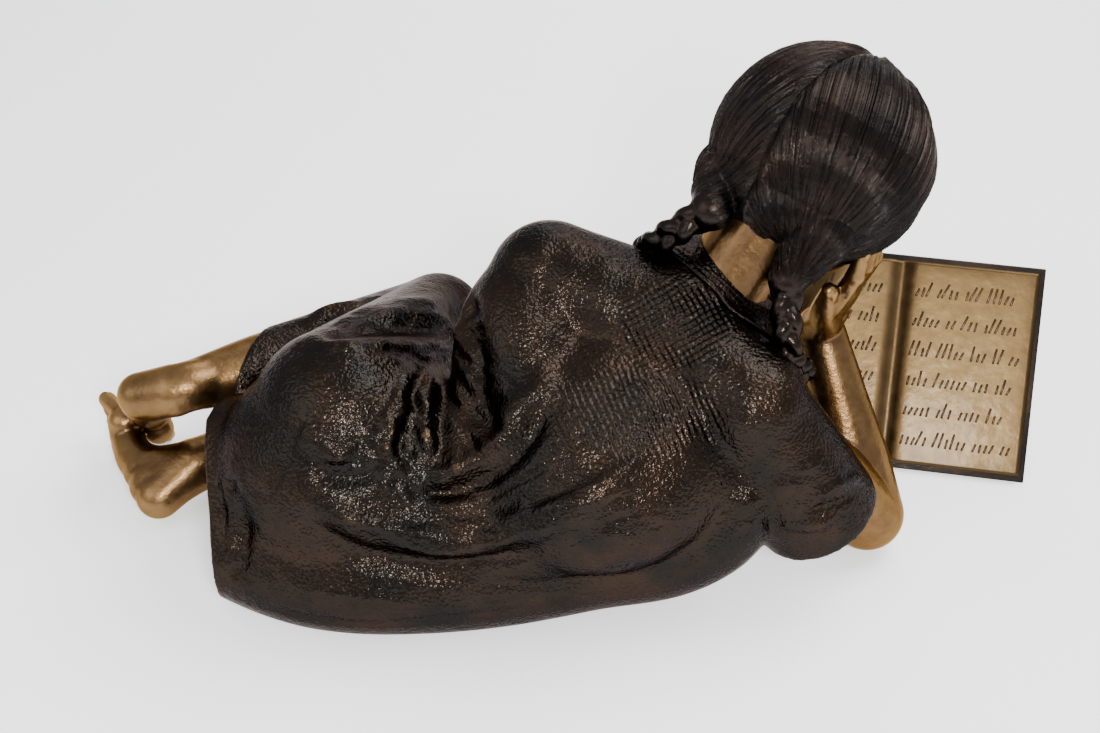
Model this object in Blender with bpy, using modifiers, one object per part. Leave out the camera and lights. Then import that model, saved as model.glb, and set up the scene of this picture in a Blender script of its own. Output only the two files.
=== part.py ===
"""Life-size bronze of a girl who lies on her side, propped on one elbow, with an open book in front of her.

Metres, +Z up. The figure is modelled as seen from behind: +X towards her head, +Y away from the viewer.
"""

import math

import bmesh
import bpy
import numpy as np
from mathutils import Matrix, Vector

# Driving sizes of the casting
FINE = 0.004          # voxel that the joined forms are remeshed to
FACETS = 9000         # triangles left on the whole figure
HEAD_FINER = 0.75     # share of that voxel for the head and the hair
BRAID_RADIUS = 0.0135
PARTING_DEPTH = 0.004
PARTING_WIDTH = 0.006
LOCK_HEIGHT = 0.0016
LOCKS = 30            # tooled locks in a full turn round each braid's root

# The pose is laid out from a point on the ground under the chest. The finished casting is moved so that the
# middle of its footprint is at the origin
FOOTPRINT_MIDDLE = Vector((0.0213, -0.0353, 0.0))

# Joints of the body. Left is her upper, far side
HEAD = Vector((0.235, 0.030, 0.335))
FACING = Vector((0.465, 0.541, -0.700)).normalized()
HEAD_UP = Vector((0.520, 0.475, 0.710)).normalized()
HER_LEFT = HEAD_UP.cross(FACING).normalized()
NECK_BASE = Vector((0.163, -0.015, 0.250))
SHOULDER_R = Vector((0.168, -0.137, 0.205))
SHOULDER_L = Vector((0.000, -0.030, 0.250))
ELBOW_R = Vector((0.290, -0.098, 0.036))
WRIST_R = Vector((0.243, -0.012, 0.185))
ELBOW_L = Vector((0.065, 0.125, 0.120))
WRIST_L = Vector((0.182, 0.108, 0.024))
CHEST = Vector((0.050, -0.118, 0.158))
PELVIS = Vector((-0.175, -0.118, 0.108))
HIP_L = Vector((-0.180, -0.110, 0.165))
HIP_R = Vector((-0.200, -0.125, 0.065))
KNEE_L = Vector((-0.110, 0.098, 0.108))
KNEE_R = Vector((-0.095, 0.090, 0.048))
ANKLE_L = Vector((-0.340, -0.042, 0.136))
ANKLE_R = Vector((-0.335, -0.038, 0.042))

# The long open end of the skirt, cut across both shins by one plane and squared off near the viewer by another
HEM_POINT = Vector((-0.298, -0.100, 0.100))
HEM_NORMAL = Vector((-0.97, 0.24, 0.03)).normalized()
HEM_NEAR_NORMAL = Vector((-1.0, -0.08, 0.0)).normalized()
HEM_DEPTH = 0.022
HEM_WALL = 0.007

# The book, open on the ground and leaning back
BOOK_FOOT = Vector((0.324, 0.002, 0.0))
BOOK_YAW = math.radians(-10.0)
BOOK_LEAN = math.radians(42.0)
PAGE_WIDTH = 0.130
PAGE_HEIGHT = 0.197
PAGE_THICK = 0.008
COVER_THICK = 0.004
COVER_RIM = 0.006
GUTTER_WIDTH = 0.014
GUTTER_DEPTH = 0.005

# The eye of the back view, in which the folds are drawn
EYE = Vector((0.0, -1.135, 1.082))
LOOK = Vector((0.0, 0.766, -0.643))
PICTURE_UP = Vector((0.0, 0.643, 0.766))
PICTURE_DISTANCE = 1.481


def clear_scene():
    for obj in list(bpy.data.objects):
        bpy.data.objects.remove(obj, do_unlink=True)


def collection(name):
    made = bpy.data.collections.new(name)
    bpy.context.scene.collection.children.link(made)
    return made


def material(name, colour, roughness, metallic):
    made = bpy.data.materials.new(name)
    made.use_nodes = True
    shader = made.node_tree.nodes["Principled BSDF"]
    shader.inputs["Base Color"].default_value = (*colour, 1.0)
    shader.inputs["Roughness"].default_value = roughness
    shader.inputs["Metallic"].default_value = metallic
    made.diffuse_color = (*colour, 1.0)
    return made


def ball(centre, radii, axes=None):
    """An ellipsoid. axes holds the directions of its three radii."""
    bpy.ops.mesh.primitive_uv_sphere_add(segments=40, ring_count=20, radius=1.0)
    obj = bpy.context.object
    turn = Matrix.Identity(3)
    if axes:
        turn = Matrix([Vector(a).normalized() for a in axes]).transposed()
    place = Matrix.Translation(Vector(centre)) @ turn.to_4x4() @ Matrix.Diagonal((*radii, 1.0))
    obj.data.transform(place)
    return obj


def limb(points, radii, cap_balls=True):
    """A tapered tube on a smooth curve through the points, with round ends."""
    data = bpy.data.curves.new("limb", "CURVE")
    data.dimensions = "3D"
    data.resolution_u = 8
    data.bevel_depth = 1.0
    data.bevel_resolution = 6
    data.use_fill_caps = True
    spline = data.splines.new("BEZIER")
    spline.bezier_points.add(len(points) - 1)
    for knot, point, radius in zip(spline.bezier_points, points, radii):
        knot.co = point
        knot.radius = radius
        knot.handle_left_type = knot.handle_right_type = "AUTO"
    tube = bpy.data.objects.new("limb", data)
    bpy.context.scene.collection.objects.link(tube)
    mesh = bpy.data.meshes.new_from_object(tube.evaluated_get(bpy.context.evaluated_depsgraph_get()))
    bpy.data.objects.remove(tube, do_unlink=True)
    solid = bpy.data.objects.new("limb", mesh)
    bpy.context.scene.collection.objects.link(solid)
    weld(solid)
    if cap_balls:
        ends = [ball(points[i], (radii[i],) * 3) for i in (0, -1)]
        solid = joined([solid, *ends])
    return solid


def weld(obj, distance=0.00005):
    bm = bmesh.new()
    bm.from_mesh(obj.data)
    bmesh.ops.remove_doubles(bm, verts=bm.verts, dist=distance)
    bmesh.ops.recalc_face_normals(bm, faces=bm.faces)
    bm.to_mesh(obj.data)
    bm.free()


def joined(pieces):
    for obj in bpy.context.selected_objects:
        obj.select_set(False)
    for obj in pieces:
        obj.select_set(True)
    bpy.context.view_layer.objects.active = pieces[0]
    bpy.ops.object.join()
    return pieces[0]


def apply_modifiers(obj):
    bpy.context.view_layer.update()
    mesh = bpy.data.meshes.new_from_object(obj.evaluated_get(bpy.context.evaluated_depsgraph_get()))
    obj.modifiers.clear()
    old = obj.data
    obj.data = mesh
    bpy.data.meshes.remove(old)
    return obj


def fused(name, pieces, voxel, soften):
    """Overlapping forms made one closed skin, with the hollows between them softened."""
    obj = joined(pieces)
    obj.name = name
    remesh = obj.modifiers.new("one skin", "REMESH")
    remesh.mode = "VOXEL"
    remesh.voxel_size = voxel
    if soften:
        smooth = obj.modifiers.new("soften", "SMOOTH")
        smooth.factor = 0.5
        smooth.iterations = soften
    return apply_modifiers(obj)


def coords(obj):
    flat = np.empty(len(obj.data.vertices) * 3)
    obj.data.vertices.foreach_get("co", flat)
    return flat.reshape(-1, 3)


def normals(obj):
    flat = np.empty(len(obj.data.vertices) * 3)
    obj.data.vertices.foreach_get("normal", flat)
    return flat.reshape(-1, 3)


def set_coords(obj, points):
    obj.data.vertices.foreach_set("co", np.ascontiguousarray(points, dtype=float).ravel())
    obj.data.update()


def seen(points):
    """Where points show in the back view, in metres on the picture plane, and how far off they are."""
    away = points - np.array(EYE)
    depth = away @ np.array(LOOK)
    across = PICTURE_DISTANCE * away[:, 0] / depth
    up = PICTURE_DISTANCE * (away @ np.array(PICTURE_UP)) / depth
    return np.stack([across, up], axis=1), depth


def smoothstep(low, high, value):
    t = np.clip((value - low) / (high - low), 0.0, 1.0)
    return t * t * (3.0 - 2.0 * t)


def along(path, flat):
    """Distance from each point to a drawn line, with its sign, and the share of the line's length there."""
    line = smooth_line(path)
    best = np.full(len(flat), np.inf)
    side = np.zeros(len(flat))
    share = np.zeros(len(flat))
    lengths = np.linalg.norm(np.diff(line, axis=0), axis=1)
    whole = lengths.sum()
    walked = 0.0
    for start, end, length in zip(line[:-1], line[1:], lengths):
        way = (end - start) / length
        off = flat - start
        t = np.clip(off @ way, 0.0, length)
        gap = off - t[:, None] * way
        distance = np.linalg.norm(gap, axis=1)
        nearer = distance < best
        best[nearer] = distance[nearer]
        side[nearer] = np.sign(way[0] * off[nearer, 1] - way[1] * off[nearer, 0])
        share[nearer] = (walked + t[nearer]) / whole
        walked += length
    return best * side, share


def smooth_line(path, steps=8):
    """A smooth curve through the drawn points (Catmull-Rom)."""
    p = np.array([path[0], *path, path[-1]], float)
    out = []
    for i in range(1, len(p) - 2):
        for t in np.arange(steps) / steps:
            out.append(
                0.5 * (2 * p[i] + (p[i + 1] - p[i - 1]) * t
                       + (2 * p[i - 1] - 5 * p[i] + 4 * p[i + 1] - p[i + 2]) * t ** 2
                       + (3 * p[i] - p[i - 1] - 3 * p[i + 1] + p[i + 2]) * t ** 3)
            )
    out.append(p[-2])
    return np.array(out)


# Folds of the dress, drawn in the back view: points in metres, then width and height.
# A positive height is a ridge and a negative one a crease.
FOLDS = [
    # the deep cleft where the waist bends over the hip
    ([(-0.082, 0.066), (-0.074, 0.040), (-0.070, 0.015)], 0.012, -0.013),
    ([(-0.070, 0.015), (-0.067, -0.030), (-0.042, -0.068)], 0.009, -0.010),
    # the roll of cloth that sweeps from the ribs down over the hip
    ([(0.009, 0.001), (-0.019, -0.031), (-0.042, -0.063), (-0.074, -0.091), (-0.139, -0.107)], 0.013, 0.011),
    ([(0.000, -0.030), (-0.030, -0.078), (-0.075, -0.110), (-0.140, -0.122)], 0.010, -0.008),
    # gathers that hang from the waist over the hip
    ([(-0.130, 0.006), (-0.140, -0.035), (-0.153, -0.077), (-0.157, -0.091)], 0.007, 0.009),
    ([(-0.120, 0.002), (-0.129, -0.040), (-0.138, -0.085)], 0.006, -0.008),
    ([(-0.108, 0.000), (-0.112, -0.045), (-0.118, -0.096)], 0.008, 0.007),
    ([(-0.097, -0.004), (-0.100, -0.045), (-0.104, -0.098)], 0.006, -0.006),
    ([(-0.086, -0.004), (-0.088, -0.050), (-0.092, -0.100)], 0.008, 0.007),
    # the shell-shaped crease under the thigh
    ([(-0.222, -0.094), (-0.195, -0.103), (-0.168, -0.101), (-0.152, -0.086)], 0.008, -0.009),
    ([(-0.235, -0.062), (-0.208, -0.072), (-0.185, -0.090)], 0.014, 0.007),
    # long folds round the back of the hip
    ([(-0.231, -0.105), (-0.185, -0.142), (-0.092, -0.165), (0.009, -0.137), (0.093, -0.087)], 0.014, 0.009),
    ([(-0.240, -0.130), (-0.190, -0.165), (-0.092, -0.185), (0.020, -0.160)], 0.010, -0.006),
    # folds along the top of the skirt
    ([(-0.231, 0.043), (-0.180, 0.050), (-0.130, 0.055), (-0.085, 0.060)], 0.009, 0.006),
    ([(-0.220, 0.030), (-0.170, 0.036), (-0.120, 0.038), (-0.088, 0.035)], 0.008, -0.006),
    ([(-0.215, 0.015), (-0.165, 0.019), (-0.115, 0.020)], 0.009, 0.005),
    # the turned edge above the hem
    ([(-0.308, -0.096), (-0.294, -0.124), (-0.284, -0.150), (-0.288, -0.180), (-0.296, -0.207)], 0.009, -0.006),
    # gathers of the sleeve
    ([(0.180, -0.110), (0.190, -0.135), (0.196, -0.165)], 0.008, 0.006),
    ([(0.205, -0.105), (0.222, -0.130), (0.235, -0.155)], 0.008, 0.006),
    ([(0.240, -0.085), (0.258, -0.103), (0.272, -0.122)], 0.008, 0.006),
]


def fold_height(points, facing):
    """How far the drawn folds push the cloth out at each point that faces the viewer."""
    flat, _ = seen(points)
    height = np.zeros(len(points))
    for path, width, rise in FOLDS:
        distance, share = along(path, flat)
        fade = smoothstep(0.0, 0.18, share) * smoothstep(0.0, 0.18, 1.0 - share)
        height += rise * fade * np.exp(-((distance / width) ** 2))
    return height * smoothstep(0.0, 0.35, facing)


def carve_folds(obj):
    points = coords(obj)
    to_eye = np.array(EYE) - points
    to_eye /= np.linalg.norm(to_eye, axis=1)[:, None]
    outward = normals(obj)
    facing = (outward * to_eye).sum(axis=1)
    set_coords(obj, points + outward * fold_height(points, facing)[:, None])


def head_point(forward, left, up):
    """A place in the head's own directions, from its centre."""
    return HEAD + FACING * forward + HER_LEFT * left + HEAD_UP * up


def dress_forms():
    across = (SHOULDER_L - SHOULDER_R).normalized()
    chest_axes = (across, (0.618, 0.702, 0.351), (0.0, -0.447, 0.894))
    middle = (SHOULDER_L + SHOULDER_R) * 0.5 + Vector((0.010, 0.015, 0.0))
    sleeve_l = SHOULDER_L.lerp(ELBOW_L, 0.58)
    return [
        ball(CHEST, (0.122, 0.135, 0.078), chest_axes),
        limb([SHOULDER_R, middle, SHOULDER_L], [0.048, 0.058, 0.054]),
        limb([middle, NECK_BASE], [0.060, 0.048]),
        limb([SHOULDER_L, (-0.018, -0.062, 0.216), (-0.010, -0.120, 0.150)], [0.052, 0.064, 0.075]),
        limb([SHOULDER_R, (0.203, -0.143, 0.142), (0.236, -0.141, 0.080)], [0.046, 0.052, 0.056], cap_balls=False),
        limb([SHOULDER_L, SHOULDER_L.lerp(ELBOW_L, 0.3), sleeve_l], [0.052, 0.050, 0.047], cap_balls=False),
        limb([(0.150, -0.145, 0.128), (0.130, -0.155, 0.092), (0.030, -0.162, 0.064), (-0.100, -0.172, 0.054),
              (-0.200, -0.164, 0.052), (-0.310, -0.116, 0.050)], [0.055, 0.058, 0.060, 0.065, 0.066, 0.060]),
        limb([CHEST, (-0.065, -0.125, 0.105), PELVIS], [0.090, 0.090, 0.100]),
        limb([(0.135, -0.140, 0.128), (0.050, -0.153, 0.110), (-0.060, -0.155, 0.098), (-0.150, -0.140, 0.100)],
             [0.058, 0.068, 0.072, 0.075]),
        limb([(0.060, -0.090, 0.060), (-0.060, -0.110, 0.050), (-0.200, -0.110, 0.050)], [0.050, 0.062, 0.060]),
        ball(PELVIS, (0.120, 0.100, 0.115)),
        limb([HIP_L, KNEE_L], [0.078, 0.046]),
        limb([HIP_R, KNEE_R], [0.070, 0.052]),
        limb([KNEE_L, KNEE_L.lerp(ANKLE_L, 0.90) - Vector((0.0, 0.0, 0.005))], [0.044, 0.035]),
        limb([KNEE_R, KNEE_R.lerp(ANKLE_R, 0.95)], [0.052, 0.042]),
        ball((-0.200, -0.010, 0.080), (0.125, 0.095, 0.072)),
        ball((-0.270, -0.100, 0.078), (0.085, 0.070, 0.085)),
        limb([KNEE_L.lerp(KNEE_R, 0.5), (-0.200, 0.032, 0.084), (-0.320, -0.035, 0.088)], [0.056, 0.056, 0.050]),
    ]


def open_hem(obj, point, normal, wall, depth):
    """Cuts the cloth off at a plane and sinks the end, so that it is an edge of cloth and not a stump."""
    bm = bmesh.new()
    bm.from_mesh(obj.data)
    for cut in (normal, HEM_NEAR_NORMAL):
        everything = [*bm.verts, *bm.edges, *bm.faces]
        bmesh.ops.bisect_plane(bm, geom=everything, plane_co=point, plane_no=cut, clear_outer=True)
    bm.normal_update()
    rim = [e for e in bm.edges if e.is_boundary]
    inward = {}
    for v in {v for e in rim for v in e.verts}:
        flat = v.normal - normal * v.normal.dot(normal)
        inward[v] = -flat.normalized() * wall
    inner = bmesh.ops.extrude_edge_only(bm, edges=rim)["geom"]
    for v in [g for g in inner if isinstance(g, bmesh.types.BMVert)]:
        v.co += inward[min(inward, key=lambda old: (old.co - v.co).length_squared)]
    edges = [g for g in inner if isinstance(g, bmesh.types.BMEdge)]
    bottom = bmesh.ops.extrude_edge_only(bm, edges=edges)["geom"]
    for v in [g for g in bottom if isinstance(g, bmesh.types.BMVert)]:
        v.co -= normal * depth
    bmesh.ops.holes_fill(bm, edges=[g for g in bottom if isinstance(g, bmesh.types.BMEdge)])
    bmesh.ops.recalc_face_normals(bm, faces=bm.faces)
    bm.to_mesh(obj.data)
    bm.free()


def build_dress():
    dress = fused("dress", dress_forms(), FINE, 12)
    open_hem(dress, HEM_POINT, HEM_NORMAL, HEM_WALL, HEM_DEPTH)
    carve_folds(dress)
    return dress


def hand(wrist, tips, palm_facing, thumb_side, spread):
    """A relaxed hand. palm_facing is where the palm looks, and thumb_side is +1 or -1 across the fingers."""
    wrist, tips = Vector(wrist), Vector(tips)
    length = (tips - wrist).length
    way = (tips - wrist).normalized()
    palm_facing = (Vector(palm_facing) - way * way.dot(Vector(palm_facing))).normalized()
    across = palm_facing.cross(way) * thumb_side
    finger = length * 0.066
    pieces = [
        ball(wrist + way * length * 0.33, (length * 0.32, length * 0.215, length * 0.105), (way, across, palm_facing)),
        limb([wrist - way * length * 0.05, wrist + way * length * 0.2], [length * 0.145, length * 0.13]),
    ]
    for place, knuckle, reach in ((1.5, 0.54, 0.93), (0.5, 0.57, 1.0), (-0.5, 0.55, 0.95), (-1.5, 0.50, 0.82)):
        root = wrist + way * length * (knuckle - 0.16) + across * place * finger * 2.15
        bend = wrist + way * length * (knuckle + 0.17) + across * place * finger * (2.1 + spread)
        tip = wrist + way * length * reach + across * place * finger * (2.0 + spread * 1.6)
        tip += palm_facing * length * 0.05
        pieces.append(limb([root, bend, tip], [finger * 1.15, finger * 1.08, finger * 0.85]))
    heel = wrist + way * length * 0.10 + across * length * 0.13
    ball_joint = wrist + way * length * 0.30 + across * length * 0.27 + palm_facing * length * 0.04
    tip = wrist + way * length * 0.55 + across * length * 0.33 + palm_facing * length * 0.08
    pieces.append(limb([heel, ball_joint, tip], [finger * 1.7, finger * 1.45, finger * 1.0]))
    return pieces


def foot(ankle, heel, toe_root, toe_tip, to_little_toe, sole_facing):
    """A bare foot. to_little_toe points across it from the big toe."""
    ankle, heel, toe_root, toe_tip = (Vector(v) for v in (ankle, heel, toe_root, toe_tip))
    across = Vector(to_little_toe).normalized()
    sole = Vector(sole_facing).normalized()
    arch = heel.lerp(toe_root, 0.5) - sole * 0.006
    pieces = [
        limb([ankle, heel], [0.023, 0.0205]),
        limb([ankle, arch, toe_root], [0.022, 0.0185, 0.0135]),
        limb([heel, heel.lerp(toe_root, 0.55) + across * 0.010, toe_root + across * 0.012], [0.0195, 0.0165, 0.0135]),
        limb([toe_root - across * 0.014, toe_root + across * 0.019], [0.0155, 0.0125]),
    ]
    for number in range(5):
        start = toe_root + across * (-0.017 + 0.0105 * number)
        reach = (toe_tip - toe_root) * (1.0 - 0.11 * number)
        size = 0.0088 if number == 0 else 0.0066 - 0.0004 * number
        pieces.append(limb([start, start + reach * 0.6 - sole * 0.002, start + reach], [size, size * 0.95, size * 0.95]))
    return pieces


def build_legs():
    shin = (0.0, 0.35, 0.7, 1.0)
    girth_l = (0.034, 0.036, 0.031, 0.0215)
    girth_r = (0.036, 0.036, 0.030, 0.0215)
    pieces = [
        limb([KNEE_L.lerp(ANKLE_L, t) for t in shin], girth_l),
        limb([KNEE_R.lerp(ANKLE_R, t) for t in shin], girth_r),
        *foot(ANKLE_L, (-0.372, -0.038, 0.127), (-0.388, 0.034, 0.038), (-0.390, 0.060, 0.010),
              (-0.24, 0.44, 0.40), (-0.85, -0.50, 0.10)),
        *foot(ANKLE_R, (-0.366, -0.066, 0.026), (-0.413, 0.012, 0.034), (-0.435, 0.040, 0.036),
              (-0.08, -0.10, -0.87), (-0.845, -0.53, 0.0)),
    ]
    return fused("legs", pieces, FINE, 4)


def build_arms():
    pieces = [
        limb([SHOULDER_R, SHOULDER_R.lerp(ELBOW_R, 0.5), ELBOW_R], [0.036, 0.035, 0.034]),
        limb([ELBOW_R.lerp(WRIST_R, t) for t in (0.0, 0.3, 0.65, 1.0)], [0.034, 0.033, 0.026, 0.018]),
        *hand(WRIST_R, (0.284, -0.022, 0.292), (-0.70, 0.70, 0.10), -1, 0.05),
        limb([SHOULDER_L, ELBOW_L], [0.036, 0.031]),
        limb([ELBOW_L.lerp(WRIST_L, t) for t in (0.0, 0.4, 1.0)], [0.031, 0.029, 0.017]),
        *hand(WRIST_L, (0.275, 0.062, 0.014), (-0.05, 0.0, -1.0), -1, 0.25),
    ]
    return fused("arms", pieces, FINE, 3)


def build_head():
    axes = (FACING, HER_LEFT, HEAD_UP)
    pieces = [
        ball(head_point(0.000, 0.0, 0.006), (0.084, 0.070, 0.080), axes),
        ball(head_point(0.030, 0.0, -0.040), (0.056, 0.058, 0.058), axes),
        ball(head_point(0.062, 0.0, -0.082), (0.022, 0.024, 0.017), axes),
        limb([head_point(0.076, 0.0, 0.002), head_point(0.086, 0.0, -0.018), head_point(0.094, 0.0, -0.034)],
             [0.0055, 0.0060, 0.0080]),
        limb([head_point(0.080, -0.015, -0.059), head_point(0.089, 0.0, -0.056), head_point(0.080, 0.015, -0.059)],
             [0.0030, 0.0048, 0.0030]),
        limb([head_point(0.079, -0.012, -0.064), head_point(0.087, 0.0, -0.067), head_point(0.079, 0.012, -0.064)],
             [0.0030, 0.0055, 0.0030]),
        limb([NECK_BASE - Vector((0.03, 0.035, 0.020)), head_point(-0.030, 0.0, -0.060)], [0.036, 0.043]),
    ]
    for side in (-1, 1):
        pieces += [
            ball(head_point(0.054, 0.030 * side, -0.040), (0.026, 0.026, 0.024), axes),
            ball(head_point(0.064, 0.031 * side, -0.006), (0.0135, 0.0150, 0.0120), axes),
            ball(head_point(0.085, 0.0095 * side, -0.038), (0.0075, 0.0060, 0.0060), axes),
            limb([head_point(0.062, 0.048 * side, 0.014), head_point(0.074, 0.030 * side, 0.020),
                  head_point(0.079, 0.012 * side, 0.014)], [0.004, 0.006, 0.005]),
        ]
    return fused("head", pieces, FINE * HEAD_FINER, 3)


def plait(route, thickness):
    """Three strands plaited: fat lobes that lean to one side and the other along the route."""
    line = smooth_line([tuple(p) for p in route], 16)
    steps = np.linalg.norm(np.diff(line, axis=0), axis=1)
    walked = np.concatenate([[0.0], np.cumsum(steps)])
    count = int(walked[-1] / (thickness * 0.82))
    pieces = [limb(route, [thickness * 0.72] * len(route))]
    for i in range(count):
        place = Vector([np.interp(walked[-1] * i / count, walked, line[:, k]) for k in range(3)])
        ahead = Vector([np.interp(walked[-1] * i / count + 0.004, walked, line[:, k]) for k in range(3)])
        way = (ahead - place).normalized()
        aside = way.cross(Vector(LOOK)).normalized() * (1 if i % 2 else -1)
        lean = (way - aside * 0.75).normalized()
        lobe_across = (aside + way * 0.75).normalized()
        shape = (thickness * 1.0, thickness * 0.60, thickness * 0.72)
        pieces.append(ball(place + aside * thickness * 0.38, shape, (lean, lobe_across, lean.cross(lobe_across))))
    end, before = Vector(route[-1]), Vector(route[-2])
    way = (end - before).normalized()
    pieces.append(limb([end, end + way * 0.014, end + way * 0.030], [thickness * 0.55, thickness * 0.75, thickness * 0.3]))
    return pieces


def build_hair():
    axes = (FACING, HER_LEFT, HEAD_UP)
    shell = ball(head_point(-0.010, 0.000, 0.002), (0.100, 0.095, 0.094), axes)
    opening = ball(head_point(0.115, 0.000, -0.048), (0.105, 0.095, 0.122), axes)
    cut = shell.modifiers.new("face", "BOOLEAN")
    cut.operation = "DIFFERENCE"
    cut.solver = "EXACT"
    cut.object = opening
    apply_modifiers(shell)
    bpy.data.objects.remove(opening, do_unlink=True)
    nape = ball(head_point(-0.045, 0.0, -0.045), (0.048, 0.070, 0.045), axes)
    root_r = head_point(-0.042, -0.050, -0.058)
    root_l = head_point(-0.048, 0.048, -0.052)
    pieces = [
        shell,
        nape,
        limb([root_r, (0.196, -0.076, 0.286)], [0.030, 0.016]),
        limb([root_l, (0.112, -0.042, 0.318)], [0.028, 0.016]),
        *plait([(0.196, -0.076, 0.286), (0.196, -0.098, 0.255), (0.200, -0.105, 0.226),
                (0.216, -0.085, 0.195), (0.220, -0.055, 0.165)], BRAID_RADIUS),
        *plait([(0.112, -0.042, 0.318), (0.088, -0.030, 0.288), (0.084, 0.000, 0.262),
                (0.090, 0.030, 0.232), (0.100, 0.055, 0.190)], BRAID_RADIUS),
    ]
    hair = fused("hair", pieces, FINE * HEAD_FINER, 3)
    part_hair(hair)
    return hair


def part_hair(hair):
    """The parting runs over the back of the head from the nape, and each half is combed to its own braid."""
    points = coords(hair)
    rel = points - np.array(HEAD)
    forward, left, up = (rel @ np.array(axis) for axis in (FACING, HER_LEFT, HEAD_UP))
    far = np.linalg.norm(rel, axis=1)
    on_head = smoothstep(0.072, 0.085, far) * smoothstep(0.125, 0.105, far)
    behind = smoothstep(0.080, 0.030, forward) * on_head * smoothstep(-0.075, -0.050, up)
    groove = -PARTING_DEPTH * np.exp(-((left / PARTING_WIDTH) ** 2))
    comb = np.zeros(len(points))
    for side in (-1, 1):
        root = np.array([-0.45, 0.52 * side, -0.72])
        root /= np.linalg.norm(root)
        first = np.cross(root, [0.0, side, 0.0])
        first /= np.linalg.norm(first)
        second = np.cross(root, first)
        local = np.stack([forward, left, up], axis=1)
        turn = np.arctan2(local @ second, local @ first)
        near_root = np.linalg.norm(local - (local @ root)[:, None] * root, axis=1)
        comb += (left * side > 0) * LOCK_HEIGHT * np.cos(LOCKS * turn) * smoothstep(0.020, 0.060, near_root)
    comb *= smoothstep(0.004, 0.018, np.abs(left))
    set_coords(hair, points + normals(hair) * ((groove + comb) * behind)[:, None])


def build_collar():
    axis = (HEAD - NECK_BASE).normalized()
    side = axis.cross(Vector((0.0, 1.0, 0.0))).normalized()
    other = axis.cross(side)
    ring = [NECK_BASE + (side * math.cos(a) + other * math.sin(a)) * 0.049 for a in np.linspace(0, 2 * math.pi, 13)]
    band = limb(ring, [0.010] * len(ring), cap_balls=False)
    return fused("collar", [band], FINE, 2)


def flatten_foot(obj):
    """What would reach under the ground is pressed flat on it."""
    points = coords(obj)
    points[:, 2] = np.maximum(points[:, 2], 0.0)
    set_coords(obj, points)


def build_figure():
    pieces = [build_dress(), build_collar(), build_legs(), build_arms(), build_head(), build_hair()]
    figure = fused("reading_girl", pieces, FINE, 1)
    flatten_foot(figure)
    thin = figure.modifiers.new("facets", "DECIMATE")
    thin.ratio = FACETS / (2 * len(figure.data.polygons))
    apply_modifiers(figure)
    flatten_foot(figure)
    return figure


def outline(points, half_depth):
    """A flat outline extruded to both sides, as a mesh."""
    data = bpy.data.curves.new("outline", "CURVE")
    data.dimensions = "2D"
    data.fill_mode = "BOTH"
    data.extrude = half_depth
    spline = data.splines.new("POLY")
    spline.points.add(len(points) - 1)
    for knot, (x, y) in zip(spline.points, points):
        knot.co = (x, y, 0.0, 1.0)
    spline.use_cyclic_u = True
    flat = bpy.data.objects.new("outline", data)
    bpy.context.scene.collection.objects.link(flat)
    mesh = bpy.data.meshes.new_from_object(flat.evaluated_get(bpy.context.evaluated_depsgraph_get()))
    bpy.data.objects.remove(flat, do_unlink=True)
    solid = bpy.data.objects.new("outline", mesh)
    bpy.context.scene.collection.objects.link(solid)
    weld(solid)
    return solid


def book_profile():
    """The book seen from its foot: across the spread, and out towards the reader."""
    steps = 8
    half = []
    for i in range(steps + 1):
        t = i / steps
        half.append((GUTTER_WIDTH * t, PAGE_THICK - GUTTER_DEPTH * (1 - math.sin(t * math.pi / 2))))
    half.append((PAGE_WIDTH, PAGE_THICK))
    half.append((PAGE_WIDTH, 0.0))
    mirrored = [(-x, y) for x, y in half]
    return half + mirrored[:0:-1]


def build_book():
    pages = outline(book_profile(), PAGE_HEIGHT / 2)
    edge = PAGE_WIDTH + COVER_RIM
    cover = outline([(-edge, -COVER_THICK), (edge, -COVER_THICK), (edge, 0.0005), (-edge, 0.0005)],
                    PAGE_HEIGHT / 2 + COVER_RIM)
    union = pages.modifiers.new("bound", "BOOLEAN")
    union.operation = "UNION"
    union.solver = "EXACT"
    union.object = cover
    apply_modifiers(pages)
    bpy.data.objects.remove(cover, do_unlink=True)
    across = Vector((math.cos(BOOK_YAW), math.sin(BOOK_YAW), 0.0))
    away = Vector((-math.sin(BOOK_YAW), math.cos(BOOK_YAW), 0.0))
    up = away * math.sin(BOOK_LEAN) + Vector((0, 0, math.cos(BOOK_LEAN)))
    out = up.cross(across) * -1.0
    turn = Matrix((across, out, up)).transposed()
    middle = BOOK_FOOT + up * (PAGE_HEIGHT / 2 + COVER_RIM)
    pages.data.transform(Matrix.Translation(middle) @ turn.to_4x4())
    weld(pages)
    flatten_foot(pages)
    pages.name = "open_book"
    return pages


def main():
    clear_scene()
    parts = collection("reading girl statue")
    bronze = material("patinated bronze", (0.060, 0.045, 0.033), 0.35, 1.0)
    page = material("golden bronze", (0.33, 0.24, 0.13), 0.40, 1.0)
    for obj, finish in ((build_figure(), bronze), (build_book(), page)):
        for holder in list(obj.users_collection):
            holder.objects.unlink(obj)
        parts.objects.link(obj)
        obj.data.transform(Matrix.Translation(-FOOTPRINT_MIDDLE))
        obj.data.materials.clear()
        obj.data.materials.append(finish)
        obj.data.shade_smooth()
        obj.data.set_sharp_from_angle(angle=math.radians(50))


if __name__ == "__main__":
    main()
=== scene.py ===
import math
import random

import bmesh
import bpy
import mathutils.noise
import numpy as np
from mathutils import Matrix, Vector


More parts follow.
